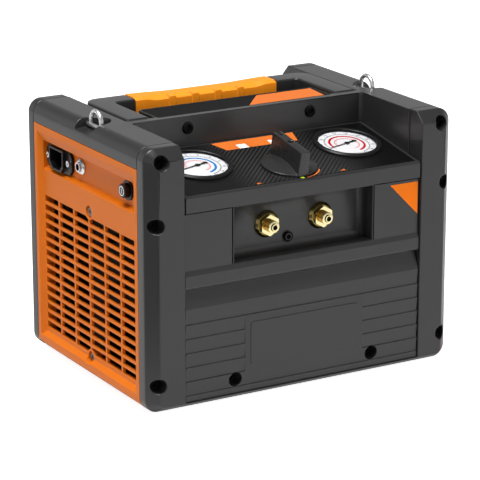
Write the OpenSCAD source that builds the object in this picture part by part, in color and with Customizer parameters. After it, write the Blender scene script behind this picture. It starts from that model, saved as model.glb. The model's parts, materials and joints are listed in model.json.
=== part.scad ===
// Portable refrigerant recovery machine: moulded case, controls, compressor, fan and condenser.
// Origin on the floor under the middle of the case, +Z up, front towards -Y.

/* [Case] */
// Width over the two side panels
body_w = 312; // [296:1:340]
// Depth over the front and rear frames
body_d = 240; // [232:1:280]
// Height of the case without feet and rings
body_h = 235; // [225:1:270]
// Wall thickness of the mouldings
wall = 3; // [2.4:0.1:3.6]
// Gap left between neighbouring mouldings
gap = 0.3; // [0.2:0.05:0.5]
// Depth of each end frame
frame_d = 20.5; // [18:0.5:24]
// Radius of the case's four long edges
corner_r = 12; // [8:0.5:14]
// Chamfer round the front and rear faces
edge_c = 9.9; // [7:0.1:11]
// Chamfer along the front and rear bottom edges
bottom_c = 6.3; // [4:0.1:8]
// Width of each front column
column_w = 35; // [33:0.5:38]
// Shadow gap between the columns and what stands between them
bay_gap = 0.8; // [0.5:0.1:1.5]
// Height of the wing's outer side above the side panel
wing_side_h = 19.3; // [15:0.1:24]
// Width of each wing beside the tray
wing_w = 36; // [35:0.5:40]
// Height of the rubber feet below the case
foot_h = 4; // [3:0.5:8]
// Diameter of the rubber feet
foot_d = 24; // [16:1:30]

/* [Case screws] */
// Diameter of the screw counterbores
bore_d = 13; // [11:0.5:14]
// Depth of the screw counterbores
bore_deep = 14; // [9:0.5:14]
// Thread diameter of the case screws
screw_d = 5; // [4:0.5:6]
// Head diameter of the case screws
screw_head_d = 9.5; // [8:0.5:10.5]
// Head height of the case screws
screw_head_h = 3.5; // [2.5:0.5:5]
// Length of thread that bites beyond the frame
screw_bite = 7.5; // [5:0.5:8]

/* [Console] */
// How far the console's front edge lies below the wings
console_drop = 44.3; // [40:0.1:50]
// Distance from the front face to the tray's back wall
console_d = 97.4; // [94:0.1:102]
// Slope of the control tray in degrees
console_slope = 10; // [8:0.5:12]
// Height of the console's front lip
lip_h = 14.5; // [12:0.5:16]
// Thickness of the printed overlay film
film_t = 0.4; // [0.2:0.1:0.6]
// Distance of each gauge from the middle
gauge_x = 77.3; // [74:0.1:80]
// Distance of the gauges up the tray
gauge_v = 57; // [54:0.5:60]
// Outside diameter of the gauge bezels
gauge_d = 63; // [58:0.5:66]
// Visible diameter of the gauge dials
dial_d = 55; // [50:0.5:56]
// Height of the bezel above the tray
bezel_h = 3; // [2.5:0.1:4]
// Distance of the selector knob up the tray
knob_v = 30.5; // [29:0.5:34]
// Diameter of the selector knob
knob_d = 50; // [44:1:52]
// Height of the knob's round skirt
knob_skirt_h = 5.5; // [5:0.5:8]
// Height of the knob's top above the tray
knob_h = 23; // [18:0.5:28]
// Width of the knob's finger blade at its top
blade_w = 9; // [7:0.5:12]
// Diameter of the selector stem
stem_d = 10; // [8:0.5:12]

/* [Front panel] */
// Height of the label and fittings bay
pocket_h = 51.5; // [46:0.5:54]
// Width of the fittings pocket
pocket_w = 142; // [130:1:150]
// Depth of the fittings pocket from the front face
pocket_d = 22; // [21:0.5:24]
// How far the label places lie behind the front face
label_in = 3.5; // [3:0.1:5]
// How far the band lies behind the front face
band_in = 1.5; // [1:0.1:2.5]
// Height of the sloped ledge below the labels
ledge_h = 4.5; // [3:0.1:6]
// Height of the plain band
band_h = 13; // [10:0.5:16]
// Height of the cove below the band
cove_h = 16.5; // [14:0.5:18]
// Depth of the cove
cove_in = 6; // [5:0.1:8]
// Height of the first lapped strip
first_strip_h = 14.1; // [12:0.1:16]
// Height of the other lapped strips
strip_h = 12.86; // [11:0.02:15]
// Step between two lapped strips
strip_step = 1; // [0.6:0.1:1.4]
// Width of the smooth plate in the middle of the strips
plate_w = 122; // [100:1:140]
// Height of the raised pad on the smooth plate
pad_t = 0.8; // [0.4:0.1:1.2]
// Distance between the two flare fittings
flare_gap = 55.2; // [50:0.2:70]
// Thread diameter of the flare fittings
flare_d = 11.1; // [11.1:0.1:15.9]
// Hexagon of the flare fittings across its flats
flare_hex = 17; // [15:0.5:19]

/* [Side panels] */
// Thickness of a side panel from its rim to its inner face
panel_t = 13; // [11:0.5:15]
// Width of the flat rim
rim_w = 5.5; // [4:0.5:7]
// Width of the bevel inside the rim
bevel_w = 4.5; // [3:0.5:6]
// Depth of the grille's face behind the rim
field_in = 4.3; // [3:0.1:5]
// Depth of the connection strip behind the rim
strip_in = 10; // [8:0.5:10.5]
// Height of the connection strip
strip_face_h = 27; // [25:0.5:30]
// Spacing of the grille columns
grille_px = 29.8; // [20:0.1:30]
// Spacing of the grille rows
grille_pz = 8.64; // [7:0.02:8.7]
// Length of one grille slot
slot_w = 27; // [15:0.5:28]
// Height of one grille slot
slot_h = 5.9; // [3:0.1:6.4]
// Distance of the grille's lowest slot above the case bottom
grille_low = 22; // [20:0.5:26]

/* [Connections] */
// Distance of the mains inlet's middle from the strip's rear end
inlet_in = 26.6; // [26:0.2:32]
// Width of the mains inlet's shroud
inlet_w = 28; // [27:0.5:29]
// Height of the mains inlet's shroud
inlet_h = 21; // [20:0.5:22]
// Distance between the mains inlet's screws
inlet_screws = 40; // [40:0.5:41]
// Distance between the mains inlet and the float switch socket
jack_gap = 38.9; // [36:0.1:44]
// Bore of the float switch socket
jack_bore_d = 6.4; // [6.3:0.05:6.6]
// Distance of the power button from the strip's front end
button_in = 22.7; // [14:0.1:30]
// Diameter of the power button's cap
button_d = 12.7; // [10:0.1:14]
// Travel of the power button
button_travel = 3; // [2:0.5:3]

/* [Handle and rings] */
// Gap between the handle's arms and the wings
handle_side = 1.8; // [1:0.1:8]
// Width of a handle arm
arm_w = 21.2; // [18:0.2:24]
// Distance from the tray's back wall to the rear edge of the handle
handle_d = 98.6; // [90:0.2:104]
// Height of the handle frame
handle_h = 23; // [20:0.5:26]
// Depth of the rear handle bar
bar_d = 22; // [18:0.5:24]
// Length of the orange grip
grip_w = 149; // [120:1:160]
// Thickness of the orange grip round its bar
grip_t = 4; // [3:0.5:5]
// Spacing of the finger hollows
finger_p = 24; // [20:0.5:28]
// Gap between the shelf behind the tray and the handle's arms
shelf_side = 6; // [4:0.5:16]
// Depth of the shelf behind the tray
shelf_d = 42.6; // [34:0.2:44]
// Depth of the well below the top
well_d = 54.8; // [50:0.2:58]
// Wire diameter of the strap rings
ring_wire = 4; // [3:0.5:5]
// Outside width of the strap rings
ring_w = 24; // [20:0.5:26]
// Distance of the strap rings from the case's sides
ring_in = 14.5; // [13:0.5:17]
// Distance of the strap rings behind the middle
ring_y = 2.3; // [-10:0.1:20]
// Height of the ring's top above the case
ring_up = 10.3; // [8:0.1:12]
// Depth of the ring's axle below the top
ring_down = 5.7; // [5:0.1:6.5]

/* [Inside] */
// Thickness of the steel base plate
sheet = 2; // [1.5:0.1:3]
// Height of the shaft above the floor
shaft_z = 92; // [86:0.5:98]
// Distance of the shaft behind the middle
shaft_y = 16; // [12:0.5:18]
// Diameter of the motor shaft
shaft_d = 12; // [10:0.5:14]
// Diameter of the motor case
motor_d = 84; // [76:1:90]
// Length of the motor case
motor_l = 75; // [70:1:78]
// Length of the crankcase
crank_l = 65; // [60:1:70]
// Diameter of the fan
fan_d = 120; // [100:1:124]
// Number of fan blades
fan_blades = 7; // [5:1:9]
// Running clearance of shafts and pivots on the radius
run = 0.05; // [0.02:0.01:0.1]
// Number of condenser fins
fins = 20; // [12:1:24]

/* [Hidden] */
$fn = 48;
hull_fn = 32;
eps = 0.01;

front_y = -body_d / 2;
inner_y = body_d / 2 - frame_d;
bottom_z = foot_h;
top_z = foot_h + body_h;
rail_z = bottom_z + bottom_c;
side_top_z = top_z - wing_side_h;
bay_w = body_w - 2 * column_w;
bay = bay_w / 2;
tray_w = body_w - 2 * wing_w;
tray = tray_w / 2;
insert_w = bay_w - 2 * bay_gap;
console_w = tray_w - 2 * gap;

console_z = top_z - console_drop;
back_wall_y = front_y + console_d;
lip_in = 0.5;
lip_z = console_z - lip_h;
tray_rise = tan(console_slope);
rear_top_z = console_z + console_d * tray_rise;

lip_gap = 1.4;
bay_top_z = lip_z - lip_gap;
seam_w = 1;
seam_deep = 1.6;
label_low_z = lip_z - pocket_h;
band_top_z = label_low_z - ledge_h;
band_low_z = band_top_z - band_h;
cove_low_z = band_low_z - cove_h;
cove_deep_z = band_low_z - 1.2;
band_round = 4;
panel_low_z = rail_z + gap;
strips_z = cove_low_z - first_strip_h;
strip_n = floor((strips_z - panel_low_z) / strip_h) + 1;
plate_low_z = strips_z - 4 * strip_h;
pad_side = 5.5;
pad_low_z = plate_low_z + 4.9;
pad_top_z = strips_z - 7;
pad_r = 3;
pocket_round = 6;
flare_x = flare_gap / 2;
flare_z = label_low_z + pocket_h / 2 - 1;
pocket_screw_x = -6;
pocket_screw_z = label_low_z + 10.3;
pocket_screw_d = 4;
pocket_head_d = 9;

column_screws = [
  [body_w / 2 - 14, top_z - 11.8],
  [body_w / 2 - 9, lip_z - 7.5],
  [body_w / 2 - 9.7, bottom_z + 25.9]
];
low_screw_x = 70.7;
low_screw_z = bottom_z + 19.1;
tower_d = bore_d + 5;
seat_y = front_y + bore_deep;
wing_boss_l = screw_bite + 2;

panel_x = body_w / 2;
panel_low = bottom_z + gap;
strip_floor_x = panel_x - strip_in;
field_x = panel_x - field_in;
panel_in_x = panel_x - panel_t;
side_border = rim_w + bevel_w + 2;
side_seat_x = field_x - 3.4;
strip_top_z = side_top_z - 15.5;
strip_low_z = strip_top_z - strip_face_h;
conn_z = (strip_top_z + strip_low_z) / 2 + 1;
round_z = conn_z + 1.4;
ledge_rise = 3;
strip_half = inner_y - gap - rim_w - bevel_w;
inlet_y = strip_half - inlet_in;
jack_y = inlet_y - jack_gap;
button_y = button_in - strip_half;
side_screw_z = [bottom_z + 18.2, strip_low_z - 19];
side_screw_d = 4;
side_head_d = 8;
side_head_h = 2.2;
side_bore_d = 11;
side_boss_d = side_bore_d + 4;
grille_cols = floor((2 * strip_half - slot_w) / grille_px) + 1;
grille_rows = floor((side_screw_z[1] - 2 - bottom_z - grille_low) / grille_pz);

base_z = bottom_z + wall;
deck_z = base_z + sheet;
tab_w = 24;
tongue_d = 7;
base_x = panel_in_x - gap;
flange_h = 26;

well_z = top_z - well_d;
handle_w = tray_w - 2 * handle_side;
arm_top_z = top_z + 1;
arm_low_z = arm_top_z - handle_h;
cross_y = back_wall_y + wall;
cross_d = 12;
seam_y = cross_y + 7.3;
handle_rear_y = back_wall_y + handle_d;
bar_mid_y = handle_rear_y - bar_d / 2;
handle_screw_x = 63.7;
handle_screw_z = top_z - 11.2;
shelf_w = handle_w - 2 * (arm_w + shelf_side);
shelf_r = 3;
shelf_rim = 7;
handle_bite = 7;
handle_head_h = 3;
fillet_r = 4;

axle_z = top_z - ring_down;
ring_x = body_w / 2 - ring_in;
ring_mid_r = (ring_w - ring_wire) / 2;
ring_top_z = top_z + ring_up;
ring_pocket_r = 20;
ring_pocket_x = ring_x + 6;
ring_pocket_half = 16.5;
ring_pocket_deep = 9;
ring_boss_y = ring_pocket_half + 4;

crank_x = -5 - crank_l;
motor_x = crank_x + crank_l;
cond_d = 22;
cond_x = panel_in_x - 11 - cond_d;
cond_w = fan_d + 22;
cond_y = shaft_y - cond_w / 2;
fan_l = 18;
fan_x = cond_x - 8 - fan_l;
shroud_x = fan_x - 4;
cond_low_z = deck_z + 18;
pipe_room = 27;
cond_h = well_z - pipe_room - cond_low_z;
crank_half = 35;
crank_half_z = 34;
foot_gap = 25;
foot_w = 16;
cyl_d = 46;
cyl_fin_d = 58;
cyl_fin_p = 6;
cyl_l = 27;
head_half = 25;
bearing_od = 28;
bearing_l = 8;
crank_bearing_x = motor_x - 30;
mount_d = 14;
head_y = crank_half + cyl_l;
head_t = 12;
fin_t = 1.2;
pipe_d = 6.35;
manifold_y = front_y + pocket_d + wall;
manifold_d = 20;
manifold_w = 90;
manifold_h = 34;
manifold_z = flare_z - manifold_h / 2;

// Colours of the object
shell_c = "#474747";
orange_c = "#E07A35";
grip_c = "#F59A35";
black_c = "#1F1F1F";
brass_c = "#D9C27A";
steel_c = "#C4C6C8";
alu_c = "#B4B7BA";
copper_c = "#B87346";

// Extrusions along the three axes
module along_y(y0, y1) translate([0, y1, 0]) rotate([90, 0, 0]) linear_extrude(y1 - y0) children();
module along_x(x0, x1) translate([x0, 0, 0]) rotate([90, 0, 90]) linear_extrude(x1 - x0) children();
module rod_x(x0, x1, d) translate([x0, 0, 0]) rotate([0, 90, 0]) cylinder(h = x1 - x0, d = d);
module rod_y(y0, y1, d) translate([0, y0, 0]) rotate([-90, 0, 0]) cylinder(h = y1 - y0, d = d);
module box(a, b) translate(a) cube(b - a);
module both_sides() {
  children();
  mirror([1, 0, 0]) children();
}

// Rectangle with round corners, from a low corner to a high corner
module round_rect(a, b, r) {
  translate([a[0] + r, a[1]]) square([b[0] - a[0] - 2 * r, b[1] - a[1]]);
  translate([a[0], a[1] + r]) square([b[0] - a[0], b[1] - a[1] - 2 * r]);
  for (x = [a[0] + r, b[0] - r], y = [a[1] + r, b[1] - r])
    translate([x, y]) circle(r);
}

// Outline of the case seen from the front, moved in by three distances
module case_outline(side, low, high, r)
  round_rect([-body_w / 2 + side, bottom_z + low], [body_w / 2 - side, top_z - high], r);

// Place on the sloped tray: x across, v up the slope
module on_tray(x, v)
  translate([0, front_y, console_z]) rotate([console_slope, 0, 0]) translate([x, v, 0]) children();

// Socket-head screw along +Y with its head seat at the origin
module screw_y(l, d, head_d, head_h) {
  difference() {
    rod_y(-head_h, 0, head_d);
    rotate([-90, 0, 0]) translate([0, 0, -head_h - eps]) cylinder(h = head_h * 0.6, d = d, $fn = 6);
  }
  rod_y(0, l, d);
}

// End frames: block with chamfered face, hollowed, with the bay cut out
module end_block(t, back_y) {
  c = edge_c - 0.586 * t;
  low_c = bottom_c - 0.586 * t;
  r = corner_r - t;
  hull() {
    along_y(front_y + t, front_y + t + eps)
      case_outline(t + c, t + low_c, t + c, max(r - c * 0.75, 1), $fn = hull_fn);
    along_y(front_y + t + c, back_y)
      case_outline(t, t, t, r, $fn = hull_fn);
  }
}

module column_places()
  for (p = column_screws, s = [-1, 1])
    translate([s * p[0], 0, p[1]]) children();

module end_frame() {
  difference() {
    union() {
      difference() {
        end_block(0, -inner_y);
        end_block(wall, -inner_y + 1);
      }
      intersection() {
        end_block(0, -inner_y);
        union() {
          both_sides() box([bay, front_y, bottom_z], [bay + wall, -inner_y, top_z]);
          column_places() rod_y(front_y, -inner_y, tower_d);
        }
      }
    }
    box([-bay, front_y - 1, rail_z], [bay, -inner_y + 1, top_z + 1]);
    column_places() {
      rod_y(front_y - 1, seat_y, bore_d);
      rod_y(front_y, 0, screw_d + 2 * gap);
    }
  }
}

module front_frame() color(shell_c) end_frame();
module rear_frame() color(shell_c) mirror([0, 1, 0]) end_frame();

// Lapped strips from z_high down to z_low, as points of a (depth, height) outline
function lap(z_high, z_low, n, first) = [
  for (i = [0 : n])
    let (zt = i == 0 ? z_high : z_high - first - (i - 1) * strip_h)
    let (zb = max(z_high - first - i * strip_h, z_low))
    each [[band_in, zt], [band_in + strip_step * (zt - zb) / strip_h, zb]]
];

module depth_outline(points) along_x(-insert_w / 2, insert_w / 2)
  translate([front_y, 0]) polygon(points);

module front_skin() {
  back = band_in + strip_step + wall - 0.5;
  depth_outline(concat(
    [[label_in, bay_top_z], [label_in, label_low_z], [band_in, band_top_z]],
    lap(band_low_z - cove_h, panel_low_z, strip_n, first_strip_h),
    [[back, panel_low_z], [back, cove_low_z - wall],
     [band_in + cove_in + wall, cove_deep_z - wall], [band_in + cove_in + wall, band_low_z + wall],
     [back, band_low_z + wall], [back, band_top_z], [label_in + wall, label_low_z],
     [label_in + wall, bay_top_z]]
  ));
}

module cove_cut() along_x(-body_w, body_w) translate([front_y, 0]) {
  difference() {
    translate([band_in - eps, band_low_z - eps]) square(band_round + eps);
    translate([band_in + band_round, band_low_z + band_round]) circle(band_round);
  }
  polygon([[band_in + band_round, band_low_z], [band_in + cove_in, cove_deep_z], [band_in, cove_low_z],
    [-wall, cove_low_z], [-wall, band_low_z]]);
}

module pocket_room(grow) {
  r = pocket_round + grow;
  hw = pocket_w / 2 + grow;
  back = front_y + pocket_d + grow;
  low = label_low_z - grow;
  intersection() {
    translate([0, 0, low]) linear_extrude(bay_top_z + grow - low) {
      translate([-hw, front_y]) square([2 * hw, pocket_d + grow - r]);
      translate([-hw + r, front_y]) square([2 * (hw - r), pocket_d + grow]);
      for (s = [-1, 1]) translate([s * (hw - r), back - r]) circle(r);
    }
    along_x(-hw, hw) {
      translate([front_y, low]) square([pocket_d + grow - r, bay_top_z + grow - low]);
      translate([front_y, low + r]) square([pocket_d + grow, bay_top_z + grow - low - r]);
      translate([back - r, low + r]) circle(r);
    }
  }
}

module front_panel() color(shell_c) {
  difference() {
    union() {
      difference() {
        front_skin();
        cove_cut();
      }
      box([-plate_w / 2, front_y + band_in, plate_low_z],
        [plate_w / 2, front_y + band_in + strip_step + 1, strips_z]);
      translate([0, front_y + band_in, 0]) rotate([90, 0, 0]) linear_extrude(pad_t)
        round_rect([-plate_w / 2 + pad_side, pad_low_z], [plate_w / 2 - pad_side, pad_top_z], pad_r);
      difference() {
        pocket_room(wall);
        box([-body_w, front_y - 1, 0], [body_w, front_y + label_in, top_z]);
      }
      for (s = [-1, 1]) translate([s * low_screw_x, 0, low_screw_z])
        rod_y(front_y + band_in + strip_step, -inner_y + 1, tower_d);
    }
    intersection() {
      pocket_room(0);
      box([-body_w, front_y - 1, label_low_z], [body_w, 0, top_z]);
    }
    for (s = [-1, 1]) translate([s * low_screw_x, 0, low_screw_z]) {
      rod_y(front_y - 1, seat_y, bore_d);
      rod_y(front_y, 0, screw_d + 2 * gap);
    }
    both_sides() box([pocket_w / 2 + seam_w, front_y, label_low_z],
      [pocket_w / 2 + 2 * seam_w, front_y + label_in + seam_deep, top_z]);
    for (s = [-1, 1]) translate([s * flare_x, 0, flare_z]) rod_y(front_y, 0, flare_d + 2 * gap);
    translate([pocket_screw_x, 0, pocket_screw_z]) {
      rod_y(front_y, front_y + pocket_d, pocket_head_d + 2 * gap);
      rod_y(front_y, 0, pocket_screw_d + 2 * gap);
    }
  }
}

module rear_panel() color(shell_c) mirror([0, 1, 0]) {
  back = band_in + strip_step + wall - 0.5;
  n = floor((rear_top_z - first_strip_h - panel_low_z) / strip_h) + 1;
  difference() {
    union() {
      depth_outline(concat(lap(rear_top_z, panel_low_z, n, first_strip_h),
        [[back, panel_low_z], [back, rear_top_z]]));
      for (s = [-1, 1]) translate([s * low_screw_x, 0, low_screw_z])
        rod_y(front_y + band_in + strip_step, -inner_y + 1, tower_d);
    }
    for (s = [-1, 1]) translate([s * low_screw_x, 0, low_screw_z]) {
      rod_y(front_y - 1, seat_y, bore_d);
      rod_y(front_y, 0, screw_d + 2 * gap);
    }
  }
}

// Console: front lip and sloped tray, one bent section
module console() color(shell_c) {
  nose = 1.2;
  rear = console_d - gap;
  difference() {
    along_x(-console_w / 2, console_w / 2) translate([front_y, 0]) polygon([
      [lip_in, lip_z], [lip_in, console_z + lip_in * tray_rise - nose],
      [lip_in + nose, console_z + (lip_in + nose) * tray_rise],
      [rear, console_z + rear * tray_rise], [rear, console_z + rear * tray_rise - wall - 1],
      [lip_in + wall, console_z - wall], [lip_in + wall, lip_z]
    ]);
    for (s = [-1, 1]) on_tray(s * gauge_x, gauge_v) translate([0, 0, -20])
      cylinder(h = 40, d = dial_d + 3 + 2 * gap);
    on_tray(0, knob_v) translate([0, 0, -20]) cylinder(h = 40, d = stem_d + 2);
  }
}

module control_overlay() color(black_c) {
  difference() {
    on_tray(0, 0) translate([-console_w / 2 + 4, 4, 0]) cube([console_w - 8, console_d - 6, film_t]);
    for (s = [-1, 1]) on_tray(s * gauge_x, gauge_v) translate([0, 0, -1])
      cylinder(h = 4, d = gauge_d + 2 * gap);
    on_tray(0, knob_v) translate([0, 0, -1]) cylinder(h = 4, d = stem_d + 2);
  }
}

// Top cover: wings, back wall of the tray, shelf and handle well
module wing_section() {
  difference() {
    intersection() {
      case_outline(0, 0, 0, corner_r);
      translate([tray, side_top_z]) square([body_w, body_h]);
    }
    intersection() {
      case_outline(wall, 0, wall, corner_r - wall);
      translate([tray + wall, side_top_z - 1]) square([body_w, body_h]);
    }
  }
  translate([tray, well_z]) square([wall, top_z - well_z - eps]);
}

module ring_pocket()
  translate([ring_pocket_x, ring_y, top_z - ring_pocket_deep]) linear_extrude(ring_pocket_deep + 1)
    intersection() {
      translate([0, ring_pocket_half - ring_pocket_r]) circle(ring_pocket_r);
      translate([0, ring_pocket_r - ring_pocket_half]) circle(ring_pocket_r);
    }

module ring_boss()
  intersection() {
    along_y(ring_y - ring_boss_y, ring_y + ring_boss_y)
      case_outline(wall / 2, 0, wall / 2, corner_r - wall / 2);
    box([tray + 2, ring_y - ring_boss_y, top_z - ring_pocket_deep - wall],
      [body_w, ring_y + ring_boss_y, top_z]);
  }

module wing() {
  difference() {
    union() {
      along_y(-inner_y, inner_y) wing_section();
      ring_boss();
      for (s = [-1, 1]) translate([column_screws[0][0], 0, column_screws[0][1]])
        intersection() {
          rod_y(s > 0 ? inner_y - wing_boss_l : -inner_y, s > 0 ? inner_y : -inner_y + wing_boss_l, tower_d);
          box([-tower_d, -body_d, side_top_z - column_screws[0][1]],
            [tower_d, body_d, top_z - column_screws[0][1] - wall / 2]);
        }
    }
    ring_pocket();
    translate([ring_x, ring_y, axle_z]) rod_y(-ring_boss_y + 1, ring_boss_y - 1, ring_wire + 2 * run);
    for (s = [-1, 1]) translate([column_screws[0][0], 0, column_screws[0][1]])
      rod_y(s > 0 ? inner_y - screw_bite - 0.5 : -inner_y - 1,
        s > 0 ? inner_y + 1 : -inner_y + screw_bite + 0.5,
        screw_d + 2 * run);
  }
}

module corner_fillet()
  translate([tray, back_wall_y, rear_top_z + gap]) linear_extrude(top_z - rear_top_z - gap) difference() {
    translate([-fillet_r, -fillet_r]) square(fillet_r + 1);
    translate([-fillet_r, -fillet_r]) circle(fillet_r);
  }

module shelf_outline(margin) {
  x = shelf_w / 2 - margin;
  y = back_wall_y + shelf_d - margin;
  y0 = back_wall_y + (margin > 0 ? shelf_rim : 0);
  translate([-x, y0]) square([2 * x, y - shelf_r - y0]);
  translate([-x + shelf_r, y0]) square([2 * (x - shelf_r), y - y0]);
  for (s = [-1, 1]) translate([s * (x - shelf_r), y - shelf_r]) circle(shelf_r);
}

module top_cover() color(shell_c) {
  difference() {
    union() {
      both_sides() {
        wing();
        corner_fillet();
      }
      box([-tray - 1, back_wall_y, well_z], [tray + 1, back_wall_y + wall, top_z]);
      box([-tray - 1, back_wall_y, well_z], [tray + 1, inner_y, well_z + wall]);
      box([-tray + bay_gap, inner_y - 1, well_z],
        [tray - bay_gap, -front_y - band_in - strip_step - wall, well_z + wall]);
      box([-tray - 1, back_wall_y, top_z - wall], [tray + 1, seam_y - 2 * gap, top_z]);
      translate([0, 0, top_z - wall]) linear_extrude(wall) shelf_outline(0);
    }
    translate([0, 0, top_z - 0.6]) linear_extrude(1) shelf_outline(1.5);
    for (s = [-1, 1]) translate([s * handle_screw_x, 0, handle_screw_z]) {
      rod_y(back_wall_y - 1, back_wall_y + wall + 1, screw_d + 2 * gap);
      rod_y(back_wall_y - 1, back_wall_y + 1, screw_head_d + 1.5);
    }
  }
}

// Side panels: rim, bevel, grille field and, on the left, the connection strip
module side_blank(with_strip) {
  y0 = -inner_y + gap;
  y1 = inner_y - gap;
  w = rim_w + bevel_w;
  difference() {
    box([panel_in_x, y0, panel_low], [panel_x, y1, side_top_z - gap]);
    translate([panel_x, 0, panel_low]) rotate([0, 45, 0]) cube([11, 2 * body_d, 11], center = true);
    intersection() {
      translate([0, 0, -1]) linear_extrude(top_z)
        polygon([[panel_x + eps, y0 + rim_w], [panel_x + eps, y1 - rim_w],
        [field_x, y1 - w], [field_x, y0 + w]]);
      along_y(-body_d, body_d) polygon([[panel_x + eps, panel_low + rim_w + 8], [field_x, panel_low + w + 8],
        [field_x, strip_top_z], [panel_x + eps, side_top_z - rim_w - 1]]);
    }
    box([panel_in_x - 1, y0 + side_border, panel_low + side_border + 6],
      [field_x - wall, y1 - side_border, with_strip ? strip_low_z - wall - 3 : strip_top_z]);
    if (with_strip)
      along_y(y0 + w, y1 - w) polygon([[field_x + eps, strip_top_z], [strip_floor_x, strip_top_z],
        [strip_floor_x, strip_low_z + ledge_rise], [field_x + eps, strip_low_z]]);
    for (p = [1, 2], s = [-1, 1]) translate([column_screws[p][0], 0, column_screws[p][1]])
      rod_y(s > 0 ? inner_y - screw_bite - 0.5 : -inner_y - 1,
        s > 0 ? inner_y + 1 : -inner_y + screw_bite + 0.5,
        screw_d + 2 * run);
  }
}

module grille_slots()
  for (i = [0 : grille_cols - 1], j = [0 : grille_rows - 1])
    translate([panel_in_x - 1, (i - (grille_cols - 1) / 2) * grille_px - slot_w / 2,
      bottom_z + grille_low + j * grille_pz])
      cube([panel_t + 2, slot_w, slot_h]);

module side_panel(with_strip) {
  difference() {
    union() {
      difference() {
        side_blank(with_strip);
        grille_slots();
      }
      for (z = side_screw_z) translate([0, 0, z]) rod_x(panel_in_x, field_x, side_boss_d);
    }
    for (z = side_screw_z) translate([0, 0, z]) {
      rod_x(panel_in_x - 1, panel_x + 1, side_screw_d + 2 * gap);
      rod_x(side_seat_x, panel_x + 1, side_bore_d);
    }
  }
}

inlet_hole_w = inlet_w - 1;
inlet_hole_h = inlet_h - 1;
bezel_d = button_d + 5.3;
barrel_d = button_d + 3.3;
bush_d = 9;

module left_side_panel() color(orange_c) {
  difference() {
    mirror([1, 0, 0]) side_panel(true);
    box([-panel_x, inlet_y - inlet_hole_w / 2 - gap, conn_z - inlet_hole_h / 2 - gap],
      [0, inlet_y + inlet_hole_w / 2 + gap, conn_z + inlet_hole_h / 2 + gap]);
    for (s = [-1, 1]) translate([0, inlet_y + s * inlet_screws / 2, conn_z]) rod_x(-panel_x, 0, 3 + 2 * gap);
    translate([0, jack_y, round_z]) rod_x(-panel_x, 0, bush_d + 2 * gap);
    translate([0, button_y, round_z]) rod_x(-panel_x, 0, barrel_d + 2 * gap);
  }
}

module right_side_panel() color(orange_c) side_panel(false);

// Steel base plate with upturned flanges and a tall tab for each side panel
module base_plate() color(steel_c) {
  tab_z = side_screw_z[1] + tab_w / 2;
  difference() {
    union() {
      box([-base_x, -inner_y + gap, base_z], [base_x, inner_y - gap, deck_z]);
      box([-insert_w / 2 + gap, -inner_y - tongue_d, base_z],
        [insert_w / 2 - gap, inner_y + tongue_d, deck_z]);
      both_sides() box([base_x - sheet, -tab_w / 2, base_z], [base_x, tab_w / 2, tab_z]);
      for (s = [-1, 1]) translate([0, s * (inner_y - 1 - sheet / 2), 0])
        box([-low_screw_x - tab_w / 2, -sheet / 2, base_z],
          [low_screw_x + tab_w / 2, sheet / 2, deck_z + flange_h]);
    }
    for (z = side_screw_z) translate([0, 0, z]) rod_x(-body_w, body_w, side_screw_d + 2 * run);
    for (s = [-1, 1]) translate([s * low_screw_x, 0, low_screw_z]) rod_y(-body_d, body_d, screw_d + 2 * run);
  }
}

module feet() color(black_c)
  for (sx = [-1, 1], sy = [-1, 1])
    translate([sx * (body_w / 2 - 36), sy * (inner_y - foot_d / 2 - 6), 0]) {
      cylinder(h = foot_h, d1 = foot_d - 4, d2 = foot_d);
      translate([0, 0, foot_h]) cylinder(h = base_z - foot_h, d = foot_d);
    }

// Handle: ring-shaped frame with a hidden front bar, and the orange grip over its rear bar
module handle_plan(y0) {
  x = handle_w / 2;
  r = 14;
  difference() {
    union() {
      translate([-x, y0]) square([2 * x, handle_rear_y - r - y0]);
      translate([-x + r, y0]) square([2 * (x - r), handle_rear_y - y0]);
      for (s = [-1, 1]) translate([s * (x - r), handle_rear_y - r]) circle(r);
    }
    round_rect([-x + arm_w, cross_y + cross_d], [x - arm_w, handle_rear_y - bar_d], 5);
    for (s = [-1, 1]) translate([s * (x - arm_w - shelf_side) - shelf_side, seam_y])
      square([2 * shelf_side, cross_d]);
  }
}

module grip_room(g)
  box([-grip_w / 2 - g, handle_rear_y - bar_d - 5, arm_low_z - 5],
    [grip_w / 2 + g, handle_rear_y + 5, top_z + 5]);

module grip_core() along_x(-body_w, body_w)
  round_rect([handle_rear_y - bar_d + grip_t, arm_low_z + grip_t],
    [handle_rear_y - grip_t, arm_top_z - grip_t], 3);

module handle_frame() color(shell_c) {
  difference() {
    translate([0, 0, arm_low_z]) linear_extrude(handle_h) handle_plan(cross_y);
    box([-body_w, cross_y - 1, top_z - wall - gap], [body_w, seam_y, arm_top_z + 1]);
    box([-shelf_w / 2 - gap, cross_y - 1, top_z - wall - gap],
      [shelf_w / 2 + gap, cross_y + cross_d + 1, arm_top_z + 1]);
    difference() {
      grip_room(gap);
      grip_core();
    }
    for (s = [-1, 1]) translate([s * handle_screw_x, 0, handle_screw_z])
      rod_y(cross_y - 1, cross_y + handle_bite + 3, screw_d + 2 * run);
  }
}

// Grip: saddle-shaped top, finger hollows along its front edge with a rib between each two
grip_ribs = 4;
rib_w = 6;
hollow_deep = 2.4;
front_deep = 1.2;
saddle = 1.5;
grip_half = grip_w / 2;
rib_end = (grip_ribs - 1) / 2 * finger_p;
fade = [rib_end + 16, rib_end + 28];

// Smooth step from 0 to 1 between a and b
function ease(x, a, b) = x <= a ? 0 : x >= b ? 1 : (1 - cos(180 * (x - a) / (b - a))) / 2;

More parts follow.
